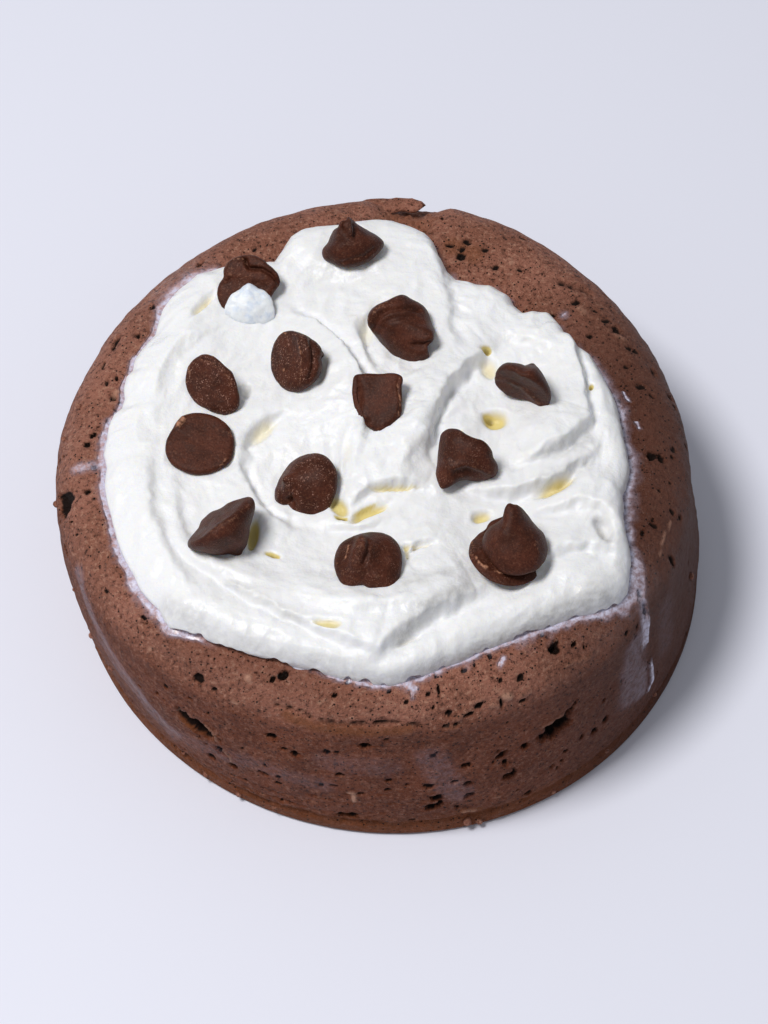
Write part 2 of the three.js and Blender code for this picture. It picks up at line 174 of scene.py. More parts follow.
class Nodes:    # a short way to wire one material
    def __init__(self, name):
        self.material = bpy.data.materials.new(name)
        self.material.use_nodes = True
        self.tree = self.material.node_tree
        self.shader = self.tree.nodes["Principled BSDF"]
        self.place = self.add("ShaderNodeTexCoord").outputs["Object"]

    def add(self, kind, **settings):
        node = self.tree.nodes.new(kind)
        for key, value in settings.items():
            setattr(node, key, value)
        return node

    def join(self, source, target):
        self.tree.links.new(source, target)

    def noise(self, size, detail=3.0, rough=0.55):    # size of a feature in millimetres
        node = self.add("ShaderNodeTexNoise")
        node.inputs["Scale"].default_value = 1 / (size * mm)
        node.inputs["Detail"].default_value = detail
        node.inputs["Roughness"].default_value = rough
        self.join(self.place, node.inputs["Vector"])
        return node.outputs["Fac"]

    def cells(self, size):    # distance to the nearest point of a field of points
        node = self.add("ShaderNodeTexVoronoi", feature="F1")
        node.inputs["Scale"].default_value = 1 / (size * mm)
        self.join(self.place, node.inputs["Vector"])
        return node.outputs["Distance"]

    def mark(self, label):
        return self.add("ShaderNodeAttribute", attribute_name=label).outputs["Fac"]

    def ramp(self, value, low, high, bottom=0.0, top=1.0):
        node = self.add("ShaderNodeMapRange", interpolation_type="SMOOTHSTEP")
        for key, number in zip(("From Min", "From Max", "To Min", "To Max"), (low, high, bottom, top)):
            node.inputs[key].default_value = number
        self.join(value, node.inputs["Value"])
        return node.outputs["Result"]

    def sum(self, first, second, how="ADD"):
        node = self.add("ShaderNodeMath", operation=how)
        for socket, value in zip(node.inputs, (first, second)):
            if isinstance(value, (int, float)):
                socket.default_value = value
            else:
                self.join(value, socket)
        return node.outputs["Value"]

    def mix(self, share, first, second):
        node = self.add("ShaderNodeMix", data_type="RGBA")
        for socket, value in zip((node.inputs[0], node.inputs[6], node.inputs[7]), (share, first, second)):
            if isinstance(value, tuple):
                socket.default_value = (*value, 1)
            else:
                self.join(value, socket)
        return node.outputs[2]

    def bump(self, height, depth):    # depth in millimetres
        node = self.add("ShaderNodeBump")
        node.inputs["Distance"].default_value = depth * mm
        self.join(height, node.inputs["Height"])
        return node.outputs["Normal"]

    def wear(self, **sockets):
        for label, value in sockets.items():
            socket = self.shader.inputs[label.replace("_", " ")]
            if isinstance(value, (int, float, tuple)):
                socket.default_value = value
            else:
                self.join(value, socket)
        return self.material


cake = {    # in millimetres about the middle of the rim
    "footRadius": 50.1, "footWaves": [[1, 0.4, -0.35], [2, -0.1, -0.15], [3, -0.2, 0.2]],
    "rimRadius": 49.5, "rimWaves": [[1, 0.3, 0.0], [2, -0.5, 0.1], [3, -0.3, -0.7], [4, 0, -0.1]],
    "height": 33.1, "heightWaves": [[1, 0, 0.05], [2, -0.2, -0.2]],
    "shoulder": 7, "lean": (2.1, -0.1), "dishDepth": 3, "dishStart": 16,
    "footRound": 0.8, "seamHeight": 3.4, "seamWidth": 1.8, "seamDepth": 0.4, "bulge": 0.5,
    "frontSteps": 540, "backSteps": 190, "frontHalf": 100,    # degrees each side of the front
    "ringGap": 0.4, "topStart": 32, "topRings": (0.95, 0.86, 0.72, 0.5, 0.25, 0), "underRings": (0, 0.5, 0.9),
    "unevenFrom": (0.5, 0.8), "crownFrom": 0.3,    # shares of the reach, and of the height
    "reliefFrom": (-0.5, 1.5),    # levels
}


def rimAt(angle):
    return cake["rimRadius"] + wave(cake["rimWaves"], angle)


def crownAt(angle):
    return cake["height"] + wave(cake["heightWaves"], angle)


def cakeTop(x, y):
    angle = np.arctan2(y, x)
    radius = np.hypot(x, y)
    crown = rimAt(angle) - cake["shoulder"]
    past = np.clip(radius - crown, 0, cake["shoulder"])
    dish = cake["dishDepth"] * (1 - smooth(cake["dishStart"], crown, radius))
    fall = cake["shoulder"] - np.sqrt(cake["shoulder"] ** 2 - past ** 2)
    return crownAt(angle) - dish - fall


cream = {
    "edge": 3.9, "rise": 3.0, "heap": 38, "gap": 0.3, "topHeight": 36.6,
    # the edge as the photograph shows it, in pixels, from the left tip clockwise
    "edgeSeen": [
        (103, 468), (100, 455), (103, 440), (105, 426), (110, 415), (118, 408), (121, 398), (120, 387),
        (123, 375), (129, 369), (131, 358), (137, 348), (145, 338), (152, 330), (155, 318), (160, 303),
        (168, 292), (176, 283), (187, 275), (195, 268), (207, 265), (222, 261), (240, 258), (258, 257),
        (273, 256), (282, 244), (290, 232), (300, 226), (315, 222), (330, 222), (345, 220), (376, 215),
        (392, 216), (410, 221), (425, 227), (434, 236), (440, 250), (448, 263), (458, 271), (468, 274),
        (480, 277), (497, 280), (511, 289), (516, 299), (527, 308), (540, 307), (552, 310), (560, 322),
        (567, 335), (580, 345), (592, 354), (600, 370), (609, 388), (617, 405), (621, 425), (626, 445),
        (630, 470), (627, 485), (624, 500), (624, 520), (627, 540), (631, 558), (632, 575), (628, 591),
        (618, 602), (600, 611), (580, 616), (560, 623), (534, 632), (505, 643), (480, 653), (460, 662),
        (445, 667), (425, 675), (405, 682), (389, 685), (372, 684), (355, 681), (340, 679), (325, 675),
        (310, 671), (295, 668), (283, 666), (268, 661), (255, 658), (240, 654), (225, 650), (213, 645),
        (200, 639), (182, 633), (168, 628), (162, 621), (157, 612), (148, 603), (138, 592), (130, 576),
        (122, 562), (116, 548), (111, 531), (107, 515), (103, 500), (101, 485),
    ],
    "edgeHeight": (33.5, 36.0),    # of what shows there, at the front and at the back
    # how wide the rounding of the edge is, every 15 degrees from the right
    "lips": [3, 3, 3, 3.5, 4, 4, 4, 4.5, 5, 6, 7, 7.5, 8, 7.5, 7, 6, 4.5, 3.4, 3.2, 3.6, 4, 4, 3.4, 3],
    "segments": 306, "crowd": (0.11, 8), "tuck": (1.4, 0.9), "tuckFrom": (0.8, 0.95),
    "foldFade": 2.2, "foldEnds": 0.35, "foldSwell": 0.6, "apronCurve": 1.6, "creaseAway": 1.5,
    "overhang": 0.35, "overAt": 0.2, "overWidth": 1.2, "hollowEdge": 2.2, "hollowSway": 0.3,
    "lipCurve": (0.5, 0.45), "wideLip": (4, 7),    # a wide rounding ends thinly
    "ragged": [(0.5, 3.0, 41), (0.25, 1.2, 42)],    # sideways sway of the crests: amount, size, seed
    "scallops": [(0.35, 3.0, 31), (0.25, 1.3, 32)], "scallopRadius": 43, "scallopFrom": 0.8,
    # the skin, as amount, size and seed: streaks along the edge, ridges, and rounder ripples
    "streakStretch": (7, 0.8), "streaks": [(1, 1.4, 77), (0.6, 0.7, 78)], "streak": 0.22,
    "ridge": (0.35, 3.2, 13), "crest": 0.3, "ripples": [(0.22, 5.5, 14), (0.09, 1.3, 19)],
    "rippleFrom": (0.5, 2.5),
    # the edge runs into its milk around one turn: how far it sinks, how much painted grey shade it has and
    # how far in
    "meltTurn": 318, "meltFrom": (0.2, 0.8), "meltDrop": 0.45, "dropFrom": 0.95,
    "meltShade": 0.45, "meltWide": (1.6, 0.1),
    "skirt": 1.2, "skirtScale": 0.97, "bed": 0.5, "thinFrom": (1.3, 0.2),
    # the grey on the next line is painted shade along the folds and walls
    "white": (0.87, 0.872, 0.885), "thinBlue": (0.62, 0.61, 0.72), "creamShade": (0.42, 0.41, 0.4),
    # the yellow and brown on the next line are painted shade in the hollows
    "hollowShade": (0.72, 0.6, 0.24), "brown": (0.24, 0.17, 0.03),
    "scatter": (0.8, 0.7, 0.5), "scatterShare": 0.4, "shine": 0.35, "roughness": (0.26, 0.44), "bump": 0.16,
}

# in pixels of the photograph: start, middle, end, and in millimetres: height, lip, apron, foot.
# The high side is left of travel.
folds = [
    ((372, 651), (418, 616), (474, 590), 2.6, 1.4, 6, 0.8),
    ((186, 548), (240, 586), (306, 620), 1.2, 0.8, 7, 0.5),
    ((300, 617), (336, 636), (374, 649), 1.7, 0.9, 7, 0.5),
    ((150, 585), (245, 628), (340, 655), 0.8, 2.6, 6, 0.2),
    ((292, 528), (250, 497), (238, 438), 1.4, 1.0, 4, 0.6),
    ((243, 443), (254, 421), (282, 410), 1.2, 0.7, 5, 0.5),
    ((359, 438), (351, 378), (298, 317), 2.4, 1.0, 7, 0.7),
    ((447, 348), (441, 295), (426, 238), 1.1, 1.5, 7, 0.3),
    ((421, 452), (440, 386), (485, 345), 3.0, 1.2, 6, 0.9),
    ((583, 419), (577, 372), (560, 320), 2.0, 0.9, 6, 0.7),
    ((524, 457), (560, 441), (584, 416), 2.4, 1.1, 6, 0.7),
    ((480, 485), (532, 481), (588, 450), 2.2, 1.0, 5, 0.8),
    ((538, 509), (585, 500), (624, 522), 1.4, 1.1, 3, 0.4),
    ((533, 565), (576, 543), (624, 547), 1.5, 1.2, 4, 0.5),
    ((300, 588), (372, 606), (458, 578), 1.5, 2.0, 6, 0.2),
    ((403, 562), (410, 546), (436, 540), 1.0, 0.6, 4, 0.4),
    ((350, 499), (384, 481), (426, 484), 1.6, 0.7, 5, 0.6),
    ((398, 470), (410, 440), (416, 410), 1.2, 1.6, 4, 0.3),
    ((328, 520), (350, 522), (380, 516), 0.8, 0.8, 3, 0.3),
    ((180, 577), (152, 528), (148, 455), 0.6, 1.2, 3, 0.3),
    ((214, 567), (183, 535), (174, 490), 0.6, 1.1, 3, 0.3),
    ((118, 560), (112, 500), (118, 440), 0.5, 1.5, 4, 0.2),
    ((205, 548), (228, 570), (256, 580), 0.6, 0.8, 3, 0.3),
    ((352, 425), (346, 455), (350, 480), 0.9, 1.0, 3, 0.3),
    ((372, 372), (358, 345), (362, 312), 1.3, 1.0, 4, 0.4),
    ((300, 250), (335, 268), (388, 262), 0.7, 1.8, 4, 0.2),
    ((150, 400), (168, 350), (205, 325), 0.7, 1.6, 4, 0.2),
    ((640, 560), (600, 575), (560, 600), -0.5, 2.5, 4, 0),
    ((505, 330), (530, 335), (552, 350), 0.7, 1.2, 4, 0.2),
    ((440, 420), (452, 405), (470, 398), 0.7, 1.2, 3, 0.2),
]

# middle in pixels, radius and height in millimetres
mounds = [
    ((560, 560), 3.5, 1.0), ((468, 430), 3.4, 1.2), ((590, 590), 5, 0.8), ((540, 420), 6, 1.4),
    ((480, 310), 6, 1.0), ((300, 250), 5, 0.8), ((392, 290), 7, 1.4), ((430, 545), 6, 0.8),
    ((350, 600), 6, 0.8), ((350, 235), 6, 0.8), ((442, 660), 2.2, 0.7), ((420, 668), 3, 0.4),
    ((200, 340), 5, 0.6), ((590, 480), 3.5, 0.8), ((280, 590), 5, 0.5), ((280, 480), 4, -0.8),
    ((600, 530), 3, -0.6),
]

# middle in pixels, half length and half width in millimetres, turn in degrees, depth, and how strong the
# painted yellow shade in it is
hollows = [
    ((338, 504), 2.2, 1.1, -55, 1.3, 1.0), ((341, 516), 1.1, 0.35, -20, 0.8, 1.9),
    ((369, 511), 3.1, 0.8, 30, 1.5, 1.0), ((366, 507), 2.2, 0.25, 34, 0.4, 0.8),
    ((394, 486), 4.4, 0.45, 3, 0.8, 0.75), ((482, 513), 1.4, 0.9, 30, 1.3, 0.85),
    ((556, 485), 3.3, 1.2, 30, 1.0, 0.8), ((604, 528), 1.2, 2.0, 18, 1.9, 0.2),
    ((418, 547), 2.4, 0.35, 10, 0.7, 0.6), ((405, 553), 0.5, 1.2, 10, 0.8, 0.6),
    ((272, 553), 1.1, 0.45, -18, 0.9, 1.7), ((329, 628), 2.2, 0.6, -15, 0.8, 0.8),
    ((253, 533), 0.8, 2.6, -8, 1.5, 1.3), ((496, 417), 1.9, 1.7, -20, 1.9, 1.0),
    ((489, 413), 0.9, 0.7, -20, 0.4, 0.8), ((485, 347), 0.9, 0.6, -10, 1.2, 1.7),
    ((489, 363), 1.3, 2.0, 10, 1.1, 0.6), ((364, 329), 1.5, 2.4, 8, 1.0, 0.4),
    ((262, 426), 2.8, 1.5, 45, 1.1, 0.5), ((203, 305), 2.8, 0.7, 55, 1.1, 0.6),
    ((246, 389), 0.6, 1.6, 0, 0.7, 0.3), ((322, 377), 0.9, 2.4, -10, 0.7, 0.35),
    ((591, 384), 0.4, 0.55, 0, 0.9, 1.7), ((349, 457), 0.8, 2.6, 0, 0.5, 0.3),
    ((408, 640), 2.4, 0.4, 35, 0.5, 0.3),
]

# in pixels of the photograph, half width in millimetres, strength: painted grey shade along the cream's folds
# and walls
creamShades = [
    ([(398, 641), (408, 625), (420, 612), (442, 601), (463, 591)], 1.1, 0.55),
    ([(398, 592), (425, 585), (448, 577)], 0.9, 0.3), ([(560, 604), (590, 590), (605, 578)], 1.5, 0.3),
    ([(430, 669), (480, 645), (530, 622), (575, 603), (608, 592)], 1.7, 0.55),
    ([(598, 520), (603, 530), (607, 541)], 1.0, 0.6), ([(548, 456), (570, 448), (588, 436)], 1.2, 0.35),
    ([(165, 602), (220, 634), (300, 659), (365, 672)], 1.7, 0.35),
    ([(230, 583), (262, 600), (300, 622)], 0.8, 0.3), ([(540, 480), (565, 470), (590, 462)], 1.2, 0.3),
    ([(150, 470), (155, 520), (185, 572)], 0.9, 0.15),
]

for index, fold in enumerate(folds):
    folds[index] = (*(behindPixel(spot, cream["topHeight"]) for spot in fold[:3]), *fold[3:])
for rows in (mounds, hollows):
    rows[:] = [(behindPixel(row[0], cream["topHeight"]), *row[1:]) for row in rows]
for index, (line, *rest) in enumerate(creamShades):
    creamShades[index] = ([behindPixel(spot, cream["topHeight"]) for spot in line], *rest)


def edgeReach():    # the edge as turns and reaches, from what the photograph shows
    turns, reaches = [], []
    low, high = cream["edgeHeight"]
    for pixel in cream["edgeSeen"]:
        x, y = behindPixel(pixel, low)
        x, y = behindPixel(pixel, low + (high - low) * float(smooth(0, 1, y / math.hypot(x, y))))
        turns.append(math.atan2(y, x) % (2 * math.pi))
        reaches.append(math.hypot(x, y))
    order = np.argsort(turns)
    return np.array(turns)[order], np.array(reaches)[order]


edgeTurns, edgeReaches = edgeReach()


def reachAt(angle):
    return np.interp(angle % (2 * np.pi), edgeTurns, edgeReaches, period=2 * np.pi)


def arcOf(start, middle, end):
    (ax, ay), (bx, by), (cx, cy) = start, middle, end
    twice = 2 * (ax * (by - cy) + bx * (cy - ay) + cx * (ay - by))
    a2, b2, c2 = ax * ax + ay * ay, bx * bx + by * by, cx * cx + cy * cy
    x = (a2 * (by - cy) + b2 * (cy - ay) + c2 * (ay - by)) / twice
    y = (a2 * (cx - bx) + b2 * (ax - cx) + c2 * (bx - ax)) / twice
    way = 1 if twice > 0 else -1
    begin = math.atan2(ay - y, ax - x)
    span = (math.atan2(cy - y, cx - x) - begin) * way % (2 * math.pi)
    return x, y, way, begin, span, math.hypot(ax - x, ay - y)


def foldAt(fold, x, y, ragged):    # height, and how far and which way the crest leans over
    start, middle, end, height, lip, apron, foot = fold
    cx, cy, way, begin, span, bend = arcOf(start, middle, end)
    radius = np.hypot(x - cx, y - cy)
    slack = math.pi - span / 2
    along = ((np.arctan2(y - cy, x - cx) - begin) * way + slack) % (2 * math.pi) - slack
    past = (np.maximum(-along, 0) + np.maximum(along - span, 0)) * np.minimum(radius, bend)
    part = np.clip(along / span, 0, 1)
    if way > 0:
        apron = min(apron, bend / 2)
    side = (bend - radius) * way + ragged
    gentle = np.exp(-(np.maximum(side, 0) / apron) ** cream["apronCurve"])
    crest = np.where(side > 0, gentle, np.exp(-(side / lip) ** 2))
    crease = np.exp(-(side / lip + cream["creaseAway"]) ** 2)
    swell = cream["foldEnds"] + (1 - cream["foldEnds"]) * np.sin(np.pi * part) ** cream["foldSwell"]
    strength = np.exp(-(past / cream["foldFade"]) ** 2) * swell
    leaning = np.exp(-((side - cream["overAt"] * lip) / (cream["overWidth"] * lip)) ** 2)
    over = strength * height * cream["overhang"] * leaning
    away = way * over / np.maximum(radius, 0.01)
    return strength * (height * crest - foot * crease), away * (x - cx), away * (y - cy)


def hollowAt(hollow, x, y):    # from 0 to 1
    (cx, cy), long, wide, turn = hollow[:4]
    c, s = math.cos(math.radians(turn)), math.sin(math.radians(turn))
    u = ((x - cx) * c + (y - cy) * s) / long
    v = (-(x - cx) * s + (y - cy) * c) / wide
    return np.exp(-(u * u + v * v) ** cream["hollowEdge"])


def creamAt(x, y):    # height of the top, sideways lean, and the painted yellow shade of the hollows
    radius = np.hypot(x, y)
    height = cream["edge"] + cream["rise"] * (1 - smooth(0, cream["heap"], radius))
    overX, overY, deep, hollowShade = (np.zeros_like(x) for _ in range(4))
    ragged = layered(np.stack([x, y, np.zeros_like(x)], 1), cream["ragged"])
    sway = cream["hollowSway"] * ragged
    for fold in folds:
        up, ox, oy = foldAt(fold, x, y, ragged)
        height, overX, overY = height + up, overX + ox, overY + oy
    for (cx, cy), size, up in mounds:
        height = height + up * np.exp(-((x - cx) ** 2 + (y - cy) ** 2) / size ** 2)
    for hollow in hollows:
        here = hollowAt(hollow, x + sway, y - sway)
        # painted yellow shade gathers in each hollow
        deep, hollowShade = deep + hollow[4] * here, hollowShade + hollow[5] * here
    angle = np.arctan2(y, x)
    lip = around(cream["lips"], angle)
    inside = np.clip((reachAt(angle) - radius) / lip, 0, 1)
    curve, wider = cream["lipCurve"]
    rounding = (1 - (1 - inside) ** 2) ** (curve + wider * smooth(*cream["wideLip"], lip))
    top = cakeTop(x, y) + cream["gap"] + (height - deep - cream["gap"]) * rounding
    return top, overX * inside, overY * inside, hollowShade * rounding


def creamMaterial():
    m = Nodes("creamFinish")
    hollowShade = m.mark("hollowShade")
    patchy = m.ramp(m.noise(1.2, 3), 0.3, 0.7, 0.6, 1.3)
    tone = m.mix(m.ramp(m.mark("thin"), 0.2, 1.0), cream["white"], cream["thinBlue"])
    # painted shade: grey along the folds and walls
    tone = m.mix(m.sum(m.mark("creamShade"), patchy, "MULTIPLY"), tone, cream["creamShade"])
    # painted shade in the hollows: yellow, and brown where deepest
    tone = m.mix(m.ramp(hollowShade, 0.1, 1.0), tone, cream["hollowShade"])
    tone = m.mix(m.ramp(hollowShade, 1.0, 2.0), tone, cream["brown"])
    return m.wear(
        Base_Color=tone, Specular_IOR_Level=cream["shine"],
        Subsurface_Weight=cream["scatterShare"], Subsurface_Radius=cream["scatter"], Subsurface_Scale=mm,
        Roughness=m.ramp(m.noise(5.0, 2), 0.3, 0.7, *cream["roughness"]),
        Normal=m.bump(m.noise(0.9, 4, 0.62), cream["bump"]),
    )


def makeCream():
    bm = bmesh.new()
    bmesh.ops.create_grid(bm, x_segments=cream["segments"], y_segments=cream["segments"], size=1)
    spots = places(bm)
    ring = np.max(np.abs(spots[:, :2]), axis=1)    # the square sheet becomes a disc
    safe = np.maximum(ring, 1e-9)
    angle = np.arctan2(np.tan(spots[:, 1] / safe * np.pi / 4), np.tan(spots[:, 0] / safe * np.pi / 4))
    crowd, sudden = cream["crowd"]
    radius = reachAt(angle) * ring * (1 + crowd * (1 - ring ** sudden))
    edge = np.stack([np.cos(angle), np.sin(angle), 0 * angle], 1) * cream["scallopRadius"]
    radius += layered(edge, cream["scallops"]) * smooth(cream["scallopFrom"], 1, ring)
    x, y = radius * np.cos(angle), radius * np.sin(angle)
    top, overX, overY, hollowShade = creamAt(x, y)
    up = top - cakeTop(x, y)
    alongTurn, alongRadius = cream["streakStretch"]
    swirl = np.stack([angle * alongTurn, radius * alongRadius, 0 * angle], 1)
    streak = cream["crest"]
    for amount, size, seed in cream["streaks"]:
        streak = streak - amount * np.abs(roughly(swirl, size, seed))
    flat = np.stack([x + overX, y + overY, 0 * x], 1)
    amount, size, seed = cream["ridge"]
    uneven = cream["streak"] * streak + amount * (cream["crest"] - np.abs(roughly(flat, size, seed)))
    top = top + (uneven + layered(flat, cream["ripples"])) * smooth(*cream["rippleFrom"], up)
    low, inwards = cream["tuck"]
    melted = smooth(*cream["meltFrom"], np.cos(angle - math.radians(cream["meltTurn"])))
    tucked = inwards * np.clip(1 - up / low, 0, 1) ** 2 * smooth(*cream["tuckFrom"], ring) * (1 - melted)
    top = top - cream["meltDrop"] * melted * smooth(cream["dropFrom"], 1, ring)
    creamShade = np.zeros(len(x))
    # painted shade along the folds, and on the wall where the edge runs into its milk
    for points, width, strength in creamShades:
        creamShade = np.maximum(creamShade, strength * np.exp(-(fromLine(points, x, y) / width) ** 2))
    creamShade = np.maximum(creamShade, cream["meltShade"] * melted * smooth(*cream["meltWide"], reachAt(angle) - radius))
    x = x + overX - tucked * np.cos(angle)
    y = y + overY - tucked * np.sin(angle)
    moveTo(bm, np.stack([x, y, top], 1))
    rim = [edge for edge in bm.edges if edge.is_boundary]
    skirt = bmesh.ops.extrude_edge_only(bm, edges=rim)["geom"]
    below = [part for part in skirt if isinstance(part, bmesh.types.BMVert)]
    bmesh.ops.translate(bm, vec=(0, 0, -cream["skirt"]), verts=below)
    bmesh.ops.scale(bm, vec=(cream["skirtScale"], cream["skirtScale"], 1), verts=below)
    bed = bmesh.ops.contextual_create(bm, geom=[e for e in bm.edges if e.is_boundary])["faces"]
    for vert in bmesh.ops.poke(bm, faces=bed)["verts"]:
        vert.co.z = float(cakeTop(vert.co.x, vert.co.y)) - cream["bed"]
    bmesh.ops.recalc_face_normals(bm, faces=bm.faces)
    spare = np.zeros(len(bm.verts) - len(up))
    marks = {"hollowShade": hollowShade, "thin": smooth(*cream["thinFrom"], up), "creamShade": creamShade}
    marks = {label: np.append(values, spare) for label, values in marks.items()}
    finishPiece("creamTopping", bm, creamMaterial(), ["whipped_cream"], marks)


dab = {    # the blob of thin cream on chip_02
    "seen": (249, 306), "lift": 0.5, "thick": 1.0, "radius": 3, "segments": 72,
    "sink": 2.2,    # how far its foot goes into the cream
    "outline": [3.9, 3.6, 3.2, 3.5, 3.0, 3.3, 3.7, 4.3, 5.4, 5.8, 5.6, 4.6],
    "ripples": [(0.22, 1.7, 5), (0.1, 0.7, 6)],
    "white": (0.85, 0.88, 0.92), "blue": (0.7, 0.76, 0.86), "scatter": (1.0, 0.9, 0.8), "scatterShare": 0.6,
    "roughness": 0.28, "shine": 0.45, "bump": 0.12,
}


def makeDab():
    bm = bmesh.new()
    bmesh.ops.create_uvsphere(bm, u_segments=dab["segments"], v_segments=dab["segments"] // 2, radius=1)
    chipSpot = chipPose(*chips["chip_02"]["pose"]).translation
    u, v = (float(value[0]) for value in seenFrom(np.array([chipSpot[:]]), dab["seen"]))
    middle = np.array(chipSpot) - u * across - v * upward + dab["lift"] * toViewer
    ball = places(bm)
    depth = dab["thick"] * ball[:, 2:] - dab["sink"] * np.maximum(-ball[:, 1:2], 0) ** 2
    wide = dab["radius"] * ball
    spots = middle + wide[:, :1] * across + wide[:, 1:2] * upward + depth * toViewer
    spots = fitOutline(spots, dab["seen"], dab["outline"])
    moveTo(bm, spots)
    moveTo(bm, spots + outwards(bm) * layered(spots, dab["ripples"])[:, None])
    m = Nodes("dabFinish")
    m.wear(
        Base_Color=m.mix(m.ramp(m.noise(1.6, 3), 0.42, 0.62), dab["white"], dab["blue"]),
        Subsurface_Weight=dab["scatterShare"], Subsurface_Radius=dab["scatter"], Subsurface_Scale=mm,
        Roughness=dab["roughness"], Specular_IOR_Level=dab["shine"],
        Normal=m.bump(m.noise(0.5, 4, 0.7), dab["bump"]),
    )
    finishPiece("creamDab", bm, m.material)


chipOutline = [    # share of the radius and of the height, from the tip to the middle of the base
    (0, 1), (0.07, 0.985), (0.13, 0.94), (0.2, 0.87), (0.31, 0.785), (0.43, 0.71), (0.57, 0.625),
    (0.71, 0.53), (0.83, 0.43), (0.93, 0.325), (0.985, 0.235), (1, 0.165), (0.985, 0.09), (0.935, 0.03),
    (0.85, 0.004), (0.7, 0), (0.35, 0), (0, 0),
]
